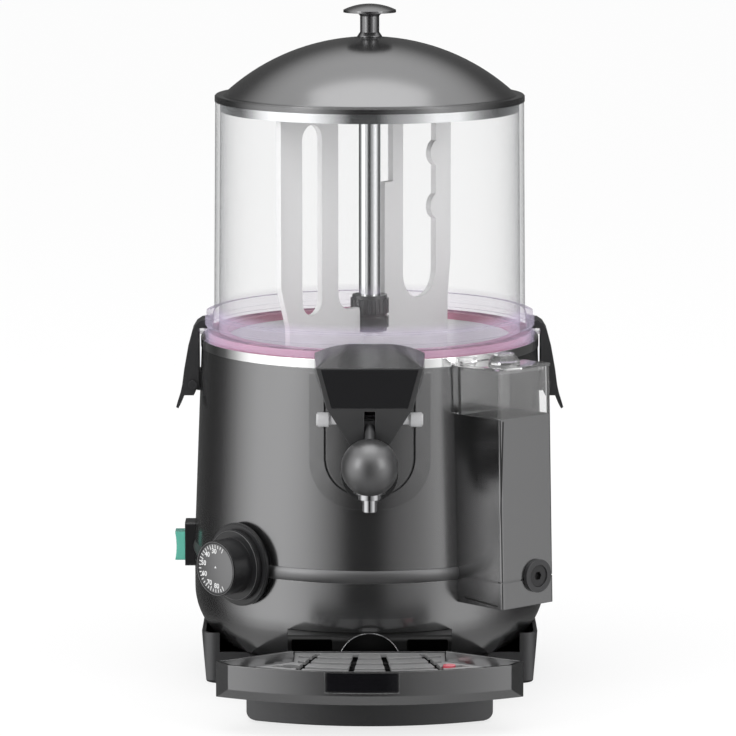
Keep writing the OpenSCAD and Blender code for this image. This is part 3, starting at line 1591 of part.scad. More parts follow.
module tray_grille() {
    rings = floor((tray_r - tray_wall - slide_gap - tray_back) / bar_pitch);
    inset = tray_wall + slide_gap;
    edge = 3;
    color("#6a6b6e") difference() {
        union() {
            up(grille_top_z - grille_bar_h) linear_extrude(grille_bar_h) difference() {
                tray_plan(inset);
                intersection() {
                    union() {
                        for (i = [0 : rings]) difference() {
                            circle(tray_r - inset - edge - i * bar_pitch, $fn = 240);
                            circle(tray_r - inset - edge - (i + 1) * bar_pitch + bar_w, $fn = 240);
                        }
                        for (side = [-1, 1], i = [1, 3.8]) rotate([0, 0, side * i * bar_break_angle])
                            translate([-bar_break / 2, -tray_r + inset + edge]) square([bar_break, tray_r - tray_back - 12]);
                    }
                    tray_plan(inset + edge);
                }
            }
            up(grille_low_z) linear_extrude(grille_rib_h + eps) intersection() {
                tray_plan(inset);
                for (i = [-4 : 4]) rotate([0, 0, i * 6.5])
                    translate([-1.2, -tray_r]) square([2.4, tray_r]);
            }
        }
        translate([-float_x, -float_y, 0]) cylinder(r = float_r + 2, h = far);
        translate([float_x, -float_y, 0]) cylinder(r = float_r + slide_gap, h = far);
    }
}

foot_strips();
base_housing();
floor_plate();
screws();
cable_gland();
lower_shell();
joint_band();
upper_shell();
drive_deck();
water_tank();
tank_gasket();
heating_ring();
temperature_probe();
gearbox();
motor();
chocolate_pot();
shaft_seal();
bowl_gasket();
bowl();
lid_dome();
lid_skirt();
lid_knob();
lid_screw();
drive_shaft();
shaft_tube();
stirrer_hub();
stirrer_paddle();
stirrer_nut();
tap_panel();
valve_body();
outlet_seal();
nozzle();
valve_cap();
valve_piston();
valve_washer();
valve_spring();
tap_lever();
tap_ball();
pivot_pin();
tap_hood();
front_plate();
filler_housing();
filler_pipe();
filler_window();
filler_lid();
drain_collar();
drain_plug();
thermostat_bezel();
thermostat_knob();
thermostat_spindle();
thermostat_body();
switch_housing();
switch_rocker();
latch_brackets();
latch_pins();
latch_left();
latch_right();
drip_tray();
tray_grille();
tray_float();
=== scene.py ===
"""Looks of a counter-top hot chocolate dispenser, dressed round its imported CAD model.

The CAD nodes keep their shapes and get procedural materials. The print on the dial, thin trim, a
seam and a bare plate are modelled here. All sizes are in metres, in the CAD model's own frame: the
origin is on the bowl's axis at the feet, the tap faces -Y and +Z is up.
"""

import logging
import math
from abc import ABC, abstractmethod
from dataclasses import dataclass, field
from enum import Enum
from typing import Iterable

import bpy
from mathutils import Matrix, Vector


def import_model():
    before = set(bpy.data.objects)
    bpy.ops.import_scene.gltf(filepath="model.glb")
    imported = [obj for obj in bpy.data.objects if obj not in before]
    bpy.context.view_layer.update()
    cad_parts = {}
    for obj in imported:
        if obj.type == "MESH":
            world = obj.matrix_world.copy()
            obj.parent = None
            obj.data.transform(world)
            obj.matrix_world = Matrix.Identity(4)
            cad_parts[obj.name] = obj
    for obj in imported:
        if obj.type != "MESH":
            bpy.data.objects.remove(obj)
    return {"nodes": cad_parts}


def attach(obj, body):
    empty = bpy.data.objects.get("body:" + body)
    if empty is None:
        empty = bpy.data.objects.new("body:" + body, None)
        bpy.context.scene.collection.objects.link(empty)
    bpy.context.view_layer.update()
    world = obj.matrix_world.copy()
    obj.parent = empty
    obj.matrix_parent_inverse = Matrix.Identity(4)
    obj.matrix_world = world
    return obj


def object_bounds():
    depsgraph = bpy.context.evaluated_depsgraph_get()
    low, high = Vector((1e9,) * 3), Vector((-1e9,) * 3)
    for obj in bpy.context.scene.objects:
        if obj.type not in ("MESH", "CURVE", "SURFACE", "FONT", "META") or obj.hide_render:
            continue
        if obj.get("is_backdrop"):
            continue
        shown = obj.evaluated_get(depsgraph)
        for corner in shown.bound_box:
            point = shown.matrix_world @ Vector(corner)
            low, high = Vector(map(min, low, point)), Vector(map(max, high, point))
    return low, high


LOG = logging.getLogger("dispenser")
ROOT = "machine"
RGB = tuple[float, float, float]
NodeTree = bpy.types.NodeTree
Socket = bpy.types.NodeSocket
Inputs = bpy.types.bpy_prop_collection

# Black painted as shade on the middle of the base's front, under the body.
PAINTED_SHADE_BLACK: RGB = (0.006, 0.006, 0.006)
FLAKE_SCALE = 2.2
SMUDGE_SCALE = 14.0
BRUSH_SCALE = 900.0
DUST_AND_SHADE_SCALE = 60.0
SATIN_STEP = 0.5
# How much paler the edges get, for wear and for painted edge highlight.
WEAR_AND_HIGHLIGHT_GAIN = 3.0
FOOT_FADE = 0.006
DOUBLES = 0.00002


def feed(tree: NodeTree, value: float | Socket, socket: Socket) -> None:
    """Links a socket to an input, or writes a constant to it.

    Args:
        tree: the tree that holds both
        value: another node's socket, or a constant
        socket: the input
    """
    if isinstance(value, bpy.types.NodeSocket):
        tree.links.new(value, socket)
    else:
        socket.default_value = value


def add_math(tree: NodeTree, operation: str, *values: float | Socket, clamp: bool = False) -> Socket:
    """Adds a Math node.

    Args:
        tree: where the node is made
        operation: what it does
        values: its inputs in order, each a constant or another node's socket
        clamp: True if the result is kept between 0 and 1

    Returns:
        The result's socket.
    """
    node = tree.nodes.new("ShaderNodeMath")
    node.operation = operation
    node.use_clamp = clamp
    for value, socket in zip(values, node.inputs):
        feed(tree, value, socket)
    return node.outputs[0]


def add_range(tree: NodeTree, value: Socket, start: float, end: float,
              results: tuple[float, float] = (0.0, 1.0), kind: str = "LINEAR") -> Socket:
    """Maps a value's range to another one.

    Args:
        tree: where the node is made
        value: the value's socket
        start: the value that gives the first result
        end: the value that gives the second result
        results: the two results
        kind: how it goes from one to the other

    Returns:
        The result's socket.
    """
    node = tree.nodes.new("ShaderNodeMapRange")
    node.interpolation_type = kind
    feed(tree, value, node.inputs["Value"])
    for name, number in zip(("From Min", "From Max", "To Min", "To Max"), (start, end, *results)):
        node.inputs[name].default_value = number
    return node.outputs["Result"]


def mix_color(tree: NodeTree, mask: Socket, a: RGB | Socket, b: RGB | Socket) -> Socket:
    """Mixes two colours by a mask.

    Args:
        tree: where the mix is made
        mask: 0 for a, 1 for b
        a: a colour, or a socket that gives one
        b: a colour, or a socket that gives one

    Returns:
        The mixed colour's socket.
    """
    mix = tree.nodes.new("ShaderNodeMix")
    mix.data_type = "RGBA"
    feed(tree, mask, mix.inputs["Factor"])
    for value, socket in ((a, mix.inputs[6]), (b, mix.inputs[7])):
        feed(tree, value if isinstance(value, bpy.types.NodeSocket) else (*value, 1), socket)
    return mix.outputs[2]


def mix_shaders(tree: NodeTree, mask: Socket, a: Socket, b: Socket) -> Socket:
    """Mixes two shaders by a mask.

    Args:
        tree: where the mix is made
        mask: 0 for a, 1 for b
        a: one shader's socket
        b: the other's

    Returns:
        The mixed shader's socket.
    """
    mix = tree.nodes.new("ShaderNodeMixShader")
    for value, socket in zip((mask, a, b), mix.inputs):
        feed(tree, value, socket)
    return mix.outputs[0]


def split_axes(tree: NodeTree, vector: Socket) -> tuple[Socket, Socket, Socket]:
    """Splits a vector.

    Args:
        tree: where the node is made
        vector: the vector's socket

    Returns:
        The sockets of its X, Y and Z.
    """
    split = tree.nodes.new("ShaderNodeSeparateXYZ")
    feed(tree, vector, split.inputs[0])
    return tuple(split.outputs)


def object_place(tree: NodeTree) -> Socket:
    """Returns the Object coordinates."""
    return tree.nodes.new("ShaderNodeTexCoord").outputs["Object"]


def axis_distance(tree: NodeTree, x: Socket, y: Socket) -> Socket:
    """Returns the distance from the machine's axis."""
    squares = [add_math(tree, "POWER", side, 2.0) for side in (x, y)]
    return add_math(tree, "SQRT", add_math(tree, "ADD", *squares))


def painted_shade_mask(tree: NodeTree, half_width: float, low_z: float) -> Socket:
    """Marks the middle of the front over a height, where the base is painted black as shade under the body.

    Args:
        tree: where the nodes are made
        half_width: how far the part reaches to each side
        low_z: its lowest height

    Returns:
        A socket with 1 there and 0 elsewhere.
    """
    x, y, z = split_axes(tree, object_place(tree))
    middle = add_math(tree, "COMPARE", x, 0.0, half_width)
    high = add_math(tree, "GREATER_THAN", z, low_z)
    front = add_math(tree, "LESS_THAN", y, 0.0)
    return add_math(tree, "MULTIPLY", add_math(tree, "MULTIPLY", middle, high), front)


def inner_mask(tree: NodeTree, radius: float, amount: float) -> Socket:
    """Returns an amount nearer to the axis than a radius, and 0 elsewhere."""
    x, y, _ = split_axes(tree, object_place(tree))
    return add_math(tree, "MULTIPLY", add_math(tree, "LESS_THAN", axis_distance(tree, x, y), radius), amount)


def seen_straight(tree: NodeTree, path: bpy.types.ShaderNodeLightPath) -> Socket:
    """Returns 1 for what the camera sees, also through clear plastic, and 0 for what a mirror shows."""
    either = add_math(tree, "ADD", path.outputs["Is Camera Ray"], path.outputs["Is Transmission Ray"])
    return add_math(tree, "SUBTRACT", either, path.outputs["Glossy Depth"], clamp=True)


def brighter(color: RGB, factor: float) -> RGB:
    """Returns the colour times a factor, at most white."""
    return tuple(min(1.0, c * factor) for c in color)


class Effect(Enum):
    """Shared surface effects, each kept as one node group."""

    GRAIN = "grain"
    BRUSH = "brush"
    SMUDGE = "smudge"
    DUST = "dust"
    EDGE = "edge"


@dataclass
class EffectGroup:
    """The node group of one shared effect, made once and placed in each material that has it.

    Args:
        effect: which effect
        grain_low: noise that counts as no flake
        grain_gain: how sharply the flakes stand out
        brush_bump: height of the brushed streaks, in metres
        fine_scale: cells of the finger marks' finer noise per metre
        smudge_low: noise that counts as no finger mark
        patch_scale: patches of edge wear and painted edge highlight per metre
        edge_gain: how soon a turned edge gets wear and painted highlight
        tree: the group, once it is being built
        source: what comes into it
        result: what goes out of it
    """

    effect: Effect
    grain_low: float = 0.35
    grain_gain: float = 2.4
    brush_bump: float = 0.00003
    fine_scale: float = 90.0
    smudge_low: float = 0.2
    patch_scale: float = 160.0
    edge_gain: float = 6.0
    tree: NodeTree = field(init=False)
    source: bpy.types.bpy_prop_collection = field(init=False)
    result: Inputs = field(init=False)

    def build(self) -> NodeTree:
        """Returns the effect's group."""
        name = f"effect_{self.effect.value}"
        known = bpy.data.node_groups.get(name)
        if known:
            return known
        self.tree = bpy.data.node_groups.new(name, "ShaderNodeTree")
        for socket, way, kind in (("Scale", "INPUT", "Float"), ("Amount", "INPUT", "Float"),
                                  ("Normal", "INPUT", "Vector"), ("Mask", "OUTPUT", "Float"),
                                  ("Normal", "OUTPUT", "Vector")):
            self.tree.interface.new_socket(socket, in_out=way, socket_type=f"NodeSocket{kind}")
        self.source = self.tree.nodes.new("NodeGroupInput").outputs
        self.result = self.tree.nodes.new("NodeGroupOutput").inputs
        fill = {Effect.GRAIN: self.grain, Effect.BRUSH: self.brush, Effect.SMUDGE: self.smudge,
                Effect.DUST: self.dust, Effect.EDGE: self.edge}
        fill[self.effect]()
        return self.tree

    def calc(self, operation: str, *values: float | Socket) -> Socket:
        """Adds a Math node to the group."""
        return add_math(self.tree, operation, *values)

    def put_mask(self, value: Socket, factor: float | Socket) -> None:
        """Puts out a value times a factor as the mask."""
        feed(self.tree, self.calc("MULTIPLY", value, factor), self.result["Mask"])

    def put_normal(self, height: Socket, distance: float | Socket) -> None:
        """Puts out the normal, bumped.

        Args:
            height: the height's socket
            distance: how much it raises the surface, in metres
        """
        node = self.tree.nodes.new("ShaderNodeBump")
        feed(self.tree, height, node.inputs["Height"])
        feed(self.tree, self.source["Normal"], node.inputs["Normal"])
        feed(self.tree, distance, node.inputs["Distance"])
        feed(self.tree, node.outputs["Normal"], self.result["Normal"])

    def noise(self, vector: Socket, size: float | Socket, detail: float) -> Socket:
        """Adds a Noise texture.

        Args:
            vector: where it is read
            size: its cells per metre
            detail: its finer layers

        Returns:
            The noise's value.
        """
        node = self.tree.nodes.new("ShaderNodeTexNoise")
        feed(self.tree, vector, node.inputs["Vector"])
        feed(self.tree, size, node.inputs["Scale"])
        feed(self.tree, detail, node.inputs["Detail"])
        return node.outputs["Fac"]

    def grain(self) -> None:
        """Fine cells, as on moulded plastic and in metallic paint."""
        cells = self.noise(object_place(self.tree), self.source["Scale"], 2.0)
        self.put_mask(self.calc("SUBTRACT", cells, self.grain_low), self.grain_gain)
        self.put_normal(cells, self.source["Amount"])

    def brush(self) -> None:
        """Streaks that run round the axis, as on a spun sheet."""
        x, y, z = split_axes(self.tree, object_place(self.tree))
        rings = self.tree.nodes.new("ShaderNodeCombineXYZ")
        for side, socket in ((axis_distance(self.tree, x, y), "X"), (z, "Z")):
            feed(self.tree, self.calc("MULTIPLY", side, self.source["Scale"]), rings.inputs[socket])
        streak = self.noise(rings.outputs[0], 1.0, 3.0)
        self.put_mask(self.calc("SUBTRACT", streak, 0.5), self.source["Amount"])
        self.put_normal(streak, self.brush_bump)

    def smudge(self) -> None:
        """Finger marks, that change the roughness in clouds."""
        place = object_place(self.tree)
        cloud = self.noise(place, self.source["Scale"], 5.0)
        both = self.calc("MULTIPLY", cloud, self.noise(place, self.fine_scale, 4.0))
        self.put_mask(self.calc("SUBTRACT", both, self.smudge_low), self.source["Amount"])

    def dust(self) -> None:
        """A cloudy mask on what faces up, for dust, and for painted shade where the colour is near black, as on
        the tray.
        """
        up = split_axes(self.tree, self.tree.nodes.new("ShaderNodeNewGeometry").outputs["Normal"])[2]
        cloud = self.noise(object_place(self.tree), self.source["Scale"], 6.0)
        lying = self.calc("POWER", self.calc("MAXIMUM", up, 0.0), 3.0)
        self.put_mask(self.calc("MULTIPLY", lying, cloud), self.source["Amount"])

    def edge(self) -> None:
        """Edges softened by a radius, and a patchy mask along them for wear and painted edge highlight."""
        soft = self.tree.nodes.new("ShaderNodeBevel")
        soft.samples = 4
        feed(self.tree, self.source["Scale"], soft.inputs["Radius"])
        feed(self.tree, self.source["Normal"], soft.inputs["Normal"])
        feed(self.tree, soft.outputs["Normal"], self.result["Normal"])
        product = self.tree.nodes.new("ShaderNodeVectorMath")
        product.operation = "DOT_PRODUCT"
        feed(self.tree, soft.outputs["Normal"], product.inputs[0])
        feed(self.tree, self.source["Normal"], product.inputs[1])
        turned = self.calc("MULTIPLY", self.calc("SUBTRACT", 1.0, product.outputs["Value"]), self.edge_gain)
        patches = self.noise(object_place(self.tree), self.patch_scale, 4.0)
        self.put_mask(self.calc("MULTIPLY", turned, patches), self.source["Amount"])


def add_effect(tree: NodeTree, effect: Effect, scale: float, amount: float,
               normal: Socket | None = None) -> bpy.types.ShaderNodeGroup:
    """Places a shared effect in a material.

    Args:
        tree: the material's tree
        effect: which effect
        scale: its Scale input
        amount: its Amount input
        normal: the normal that it starts from, or none for the mesh's own

    Returns:
        The group's node, with Mask and Normal outputs.
    """
    node = tree.nodes.new("ShaderNodeGroup")
    node.node_tree = EffectGroup(effect).build()
    node.inputs["Scale"].default_value = scale
    node.inputs["Amount"].default_value = amount
    if normal is None:
        normal = tree.nodes.new("ShaderNodeNewGeometry").outputs["Normal"]
    feed(tree, normal, node.inputs["Normal"])
    return node


class Dressing(ABC):
    """A finish, which is made a material once and then shared."""

    name: str

    def build(self) -> bpy.types.Material:
        """Returns the material."""
        mat = bpy.data.materials.get(self.name)
        if mat is None:
            mat = bpy.data.materials.new(self.name)
            mat.use_nodes = True
            self.fill(mat.node_tree, mat.node_tree.nodes["Principled BSDF"].inputs)
        return mat

    @abstractmethod
    def fill(self, tree: NodeTree, inputs: Inputs) -> None:
        """Sets the shader's inputs."""


@dataclass(frozen=True)
class Finish(Dressing):
    """How one opaque surface looks.

    Args:
        name: the material's name
        color: linear base colour
        rough: roughness of the clean surface
        metal: how metallic it is, 0 to 1
        coat: weight of a clear coat
        coat_rough: roughness of the clear coat
        grain: height of the moulded or painted texture, in metres
        grain_scale: cells of the texture per metre
        flake: how much the colour varies from flake to flake
        brush: strength of the brushed streaks
        smudge: how much finger marks change the roughness
        dust: how much dust lies on what faces up; with a near-black colour, as on the tray, it is painted shade
            instead
        dust_and_shade_color: colour of the dust; near black where it is painted shade
        edge: radius of the softened edges, in metres
        wear_and_highlight: how much paler the edges are, as wear, and on the hood as a painted highlight
        transmission: how much light passes through
        painted_shade_region: half width and lowest height of a middle part of the front that is painted black as
            shade, or none
        satin: distance from the axis inside which the surface is satin, or none
    """

    name: str
    color: RGB
    rough: float = 0.45
    metal: float = 0.0
    coat: float = 0.0
    coat_rough: float = 0.1
    grain: float = 0.0
    grain_scale: float = 900.0
    flake: float = 0.0
    brush: float = 0.0
    smudge: float = 0.0
    dust: float = 0.0
    dust_and_shade_color: RGB = (0.35, 0.34, 0.32)
    edge: float = 0.0006
    wear_and_highlight: float = 0.0
    transmission: float = 0.0
    painted_shade_region: tuple[float, float] | None = None
    satin: float | None = None

    def fill(self, tree: NodeTree, inputs: Inputs) -> None:
        """Sets the shader's constants, then adds the effects that this finish has."""
        for name, value in (("Base Color", (*self.color, 1)), ("Roughness", self.rough), ("Metallic", self.metal),
                            ("Coat Weight", self.coat), ("Coat Roughness", self.coat_rough),
                            ("Transmission Weight", self.transmission)):
            inputs[name].default_value = value
        edge = add_effect(tree, Effect.EDGE, scale=self.edge, amount=self.wear_and_highlight)
        normal = edge.outputs["Normal"]
        self.feed_color(tree, edge.outputs["Mask"], inputs["Base Color"])
        rough: float | Socket = self.rough
        metal: float | Socket = self.metal
        if self.smudge:
            group = add_effect(tree, Effect.SMUDGE, scale=SMUDGE_SCALE, amount=self.smudge)
            rough = add_math(tree, "ADD", group.outputs["Mask"], rough)
        if self.brush:
            group = add_effect(tree, Effect.BRUSH, scale=BRUSH_SCALE, amount=self.brush, normal=normal)
            rough = add_math(tree, "ADD", group.outputs["Mask"], rough)
            normal = group.outputs["Normal"]
        if self.satin:
            mask = inner_mask(tree, self.satin, SATIN_STEP)
            rough = add_math(tree, "ADD", mask, rough)
            metal = add_math(tree, "SUBTRACT", metal, mask)
        if self.grain:
            group = add_effect(tree, Effect.GRAIN, scale=self.grain_scale, amount=self.grain, normal=normal)
            normal = group.outputs["Normal"]
        feed(tree, normal, inputs["Normal"])
        feed(tree, rough, inputs["Roughness"])
        feed(tree, metal, inputs["Metallic"])

    def feed_color(self, tree: NodeTree, worn_and_highlit: Socket, socket: Socket) -> None:
        """Feeds the base colour with its flakes, its dust and painted shade on what faces up, a part painted black
        as shade, and paler edges of wear and painted highlight.
        """
        color: RGB | Socket = self.color
        if self.flake:
            group = add_effect(tree, Effect.GRAIN, scale=self.grain_scale * FLAKE_SCALE, amount=1.0)
            color = mix_color(tree, group.outputs["Mask"], color, brighter(self.color, 1 + self.flake))
        # Dust on what faces up; with a near-black colour, as on the tray, it is painted shade.
        if self.dust:
            group = add_effect(tree, Effect.DUST, scale=DUST_AND_SHADE_SCALE, amount=self.dust)
            color = mix_color(tree, group.outputs["Mask"], color, self.dust_and_shade_color)
        # The middle of the base's front is painted black here, as shade under the body.
        if self.painted_shade_region:
            color = mix_color(tree, painted_shade_mask(tree, *self.painted_shade_region), color, PAINTED_SHADE_BLACK)
        # Paler edges: wear, and on the hood a painted highlight.
        if self.wear_and_highlight:
            color = mix_color(tree, worn_and_highlit, color, brighter(self.color, WEAR_AND_HIGHLIGHT_GAIN))
        feed(tree, color if isinstance(color, bpy.types.NodeSocket) else (*color, 1), socket)


@dataclass(frozen=True)
class ClearFinish(Dressing):
    """Clear plastic: light goes through it and bends.

    Args:
        name: the material's name
        color: tint of the clear wall
        rough: roughness of its surface
        ior: refractive index
        clear: share of the light that goes through it; the rest shows a milky body
    """

    name: str
    color: RGB = (0.985, 0.985, 0.985)
    rough: float = 0.01
    ior: float = 1.40
    clear: float = 0.94

    def fill(self, tree: NodeTree, inputs: Inputs) -> None:
        """Sets the shader's constants."""
        inputs["Base Color"].default_value = (*self.color, 1)
        inputs["Roughness"].default_value = self.rough
        inputs["Transmission Weight"].default_value = self.clear
        inputs["IOR"].default_value = self.ior


@dataclass(frozen=True)
class HazeFinish(Dressing):
    """Clear plastic of an even wall, with grey edges where it is looked at along the wall.

    Args:
        name: the material's name
        color: colour of what the plastic itself shows
        rough: roughness of its surface
        coat: weight of its gloss
        haze: how much it hides when looked at straight
        edge: how much more it hides at a glancing angle
        falloff: how fast the edge fades
        foot: colour of the thicker foot
        foot_haze: how much more the foot hides
        foot_top: height at which the foot ends, in metres
    """

    name: str
    color: RGB = (0.48, 0.49, 0.50)
    rough: float = 0.04
    coat: float = 0.3
    haze: float = 0.04
    edge: float = 0.75
    falloff: float = 4.0
    foot: RGB = (0.78, 0.70, 0.90)
    foot_haze: float = 0.14
    foot_top: float = 0.302

    def fill(self, tree: NodeTree, inputs: Inputs) -> None:
        """Sets the shader's inputs and feeds its colour and its alpha."""
        inputs["Roughness"].default_value = self.rough
        inputs["Coat Weight"].default_value = self.coat
        glancing = tree.nodes.new("ShaderNodeLayerWeight").outputs["Facing"]
        sharp = add_math(tree, "POWER", glancing, self.falloff)
        height = split_axes(tree, object_place(tree))[2]
        foot = add_range(tree, height, self.foot_top, self.foot_top + FOOT_FADE, (1.0, 0.0))
        feed(tree, mix_color(tree, foot, self.color, self.foot), inputs["Base Color"])
        hidden = add_math(tree, "MULTIPLY_ADD", sharp, self.edge, self.haze, clamp=True)
        feed(tree, add_math(tree, "MULTIPLY_ADD", foot, self.foot_haze, hidden), inputs["Alpha"])


SHELL = Finish("metallic_charcoal", (0.215, 0.215, 0.217), rough=0.20, metal=0.95, grain=0.000004,
               grain_scale=1400, flake=0.12, smudge=0.05)
BAND = Finish("metallic_charcoal_band", (0.17, 0.17, 0.172), rough=0.42, metal=0.9, grain=0.000004,
              grain_scale=1400, flake=0.12)
# The middle of the base's front, under the body, is painted black as shade.
BASE = Finish("base_moulding", (0.075, 0.075, 0.077), rough=0.34, metal=0.5, grain=0.00002,
              grain_scale=1100, smudge=0.08, dust=0.06, painted_shade_region=(0.068, 0.0265))
LATCH = Finish("latch_moulding", (0.055, 0.055, 0.057), rough=0.28, metal=0.4, grain=0.00002,
               grain_scale=1200, smudge=0.10, wear_and_highlight=0.3)
TAP = Finish("tap_moulding", (0.20, 0.20, 0.202), rough=0.24, metal=0.95, grain=0.00001,
             grain_scale=1200, smudge=0.05, wear_and_highlight=0.2)
# The hood's paler edges are a painted highlight, not wear.
HOOD = Finish("hood_moulding", (0.045, 0.045, 0.046), rough=0.24, metal=0.1, grain=0.00001,
              grain_scale=1200, edge=0.0009, wear_and_highlight=0.6)
BALL = Finish("ball_moulding", (0.15, 0.15, 0.152), rough=0.36, metal=0.8, grain=0.00001,
              grain_scale=1300, smudge=0.06)
LID = Finish("lid_moulding", (0.185, 0.185, 0.187), rough=0.21, metal=0.92, grain=0.00001,
             grain_scale=1200, smudge=0.05, dust=0.02)
# The tray's near-black dust colour paints shade on what faces up in its hollow.
TRAY = Finish("tray_moulding", (0.19, 0.19, 0.192), rough=0.24, metal=0.9, grain=0.00001,
              grain_scale=1200, smudge=0.06, dust=2.2, dust_and_shade_color=(0.012, 0.012, 0.012), wear_and_highlight=0.2)
GRILLE = Finish("grille_moulding", (0.34, 0.34, 0.343), rough=0.30, metal=0.25, grain=0.00001,
                grain_scale=1200, smudge=0.06, wear_and_highlight=0.2)
BLACK = Finish("black_moulding", (0.016, 0.016, 0.017), rough=0.28, grain=0.00002, grain_scale=1300)
GLOSS_BLACK = Finish("gloss_black", (0.004, 0.004, 0.005), rough=0.08, coat=0.3, coat_rough=0.03)
STEEL = Finish("brushed_steel", (0.62, 0.62, 0.625), rough=0.24, metal=1.0, brush=0.18)
POLISHED = Finish("polished_steel", (0.88, 0.88, 0.88), rough=0.08, metal=1.0, smudge=0.08)
POT = Finish("pot_steel", (0.88, 0.88, 0.88), rough=0.10, metal=1.0, satin=0.125)
DARK_CHROME = Finish("dark_chrome", (0.50, 0.50, 0.51), rough=0.12, metal=1.0)
ZINC = Finish("zinc_plate", (0.42, 0.43, 0.44), rough=0.42, metal=0.9, flake=0.2, grain_scale=300)
CAST = Finish("painted_casting", (0.16, 0.16, 0.165), rough=0.6, grain=0.0001, grain_scale=700)
HUB = Finish("hub_moulding", (0.10, 0.10, 0.102), rough=0.22, metal=0.5, coat=0.3)
PADDLE = Finish("paddle_moulding", (0.88, 0.88, 0.885), rough=0.34, grain=0.00002, grain_scale=900)
PIN = Finish("pale_pin", (0.66, 0.66, 0.67), rough=0.22, coat=0.4)
CERAMIC = Finish("cream_moulding", (0.62, 0.58, 0.47), rough=0.4)
RUBBER = Finish("black_rubber", (0.012, 0.012, 0.012), rough=0.75)
WHITE_RUBBER = Finish("white_rubber", (0.62, 0.61, 0.58), rough=0.6)
RED_RUBBER = Finish("red_silicone", (0.62, 0.26, 0.37), rough=0.32, coat=0.2)
GREEN = Finish("green_rocker", (0.20, 0.70, 0.56), rough=0.12, coat=0.6, transmission=0.35)
RED = Finish("red_float", (0.66, 0.09, 0.13), rough=0.22, coat=0.4)
BOWL = HazeFinish("bowl_plastic")
CLEAR = ClearFinish("window_plastic")
MARK = Finish("dial_print", (0.78, 0.78, 0.78), rough=0.5, edge=0.0)
DIAL = Finish("dial_face", (0.16, 0.16, 0.162), rough=0.30, metal=0.6, edge=0.0)
SEAM = Finish("dark_seam", (0.004, 0.004, 0.004), rough=0.6, edge=0.0)


CAD_FINISHES: dict[Finish, tuple[str, ...]] = {
    SHELL: ("upper_shell", "lower_shell", "filler_housing"),
    BAND: ("joint_band",),
    BASE: ("base_housing",),
    LATCH: ("latch_left", "latch_right", "latch_brackets", "latch_pins", "drain_collar", "tap_lever"),
    TAP: ("tap_panel", "valve_body"),
    HOOD: ("tap_hood",),
    BALL: ("tap_ball",),
    LID: ("lid_dome", "lid_knob"),
    TRAY: ("drip_tray",),
    GRILLE: ("tray_grille",),
    BLACK: ("valve_cap", "drain_plug", "thermostat_bezel", "thermostat_knob", "switch_housing", "motor"),
    GLOSS_BLACK: ("front_plate",),
    DARK_CHROME: ("nozzle",),
    HUB: ("stirrer_hub",),
    STEEL: ("water_tank", "heating_ring", "temperature_probe", "drive_shaft", "filler_pipe",
            "thermostat_spindle", "valve_spring"),
    POLISHED: ("lid_skirt", "shaft_tube", "stirrer_nut"),
    POT: ("chocolate_pot",),
    ZINC: ("floor_plate", "drive_deck", "screws", "lid_screw"),
    CAST: ("gearbox",),
    PADDLE: ("stirrer_paddle",),
    PIN: ("pivot_pin", "valve_piston"),
    CERAMIC: ("thermostat_body",),
    RUBBER: ("foot_strips", "cable_gland", "shaft_seal", "outlet_seal", "valve_washer"),
    WHITE_RUBBER: ("tank_gasket",),
    RED_RUBBER: ("bowl_gasket",),
    GREEN: ("switch_rocker",),
    RED: ("tray_float",),
    BOWL: ("bowl",),
    CLEAR: ("filler_window", "filler_lid"),
}


def deselect() -> None:
    """Leaves object mode and selects nothing."""
    if bpy.context.object and bpy.context.object.mode != "OBJECT":
        bpy.ops.object.mode_set(mode="OBJECT")
    bpy.ops.object.select_all(action="DESELECT")


def activate(obj: bpy.types.Object) -> bpy.types.Object:
    """Selects only this object and makes it active."""
    deselect()
    obj.select_set(True)
    bpy.context.view_layer.objects.active = obj
    return obj


def settle(obj: bpy.types.Object) -> bpy.types.Object:
    """Writes the object's place, turn and scale into its mesh."""
    activate(obj)
    bpy.ops.object.transform_apply(location=True, rotation=True, scale=True)
    return obj


def finish_mesh(obj: bpy.types.Object, angle: float = 35.0) -> bpy.types.Object:
    """Merges doubles, points the normals outwards and shades smooth.

    Args:
        obj: the piece
        angle: edges sharper than this stay sharp, in degrees

    Returns:
        The same piece.
    """
    activate(obj)
    bpy.ops.object.mode_set(mode="EDIT")
    bpy.ops.mesh.select_all(action="SELECT")
    bpy.ops.mesh.remove_doubles(threshold=DOUBLES)
    bpy.ops.mesh.normals_make_consistent(inside=False)
    bpy.ops.object.mode_set(mode="OBJECT")
    bpy.ops.object.shade_smooth_by_angle(angle=math.radians(angle))
    return obj


def apply_modifiers(obj: bpy.types.Object) -> None:
    """Applies every modifier of the object, in order."""
    activate(obj)
    for modifier in list(obj.modifiers):
        bpy.ops.object.modifier_apply(modifier=modifier.name)


def bevel(obj: bpy.types.Object, width: float, segments: int = 2, angle: float = 30.0) -> None:
    """Rounds a piece's edges.

    Args:
        obj: the piece
        width: width of the rounding
        segments: its faces across
        angle: only edges sharper than this are rounded, in degrees
    """
    modifier = obj.modifiers.new("bevel", "BEVEL")
    modifier.width = width
    modifier.segments = segments
    modifier.limit_method = "ANGLE"
    modifier.angle_limit = math.radians(angle)
    apply_modifiers(obj)


def place_piece(obj: bpy.types.Object, name: str, finish: Finish, body: str) -> bpy.types.Object:
    """Names, dresses and attaches a new piece.

    Args:
        obj: the piece, in place
        name: its name
        finish: its finish
        body: the CAD body that it rides on

    Returns:
        The piece.
    """
    settle(obj)
    obj.name = name
    obj.data.name = name
    obj.data.materials.clear()
    obj.data.materials.append(finish.build())
    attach(obj, body)
    LOG.info("piece %s rides on %s", name, body)
    return obj


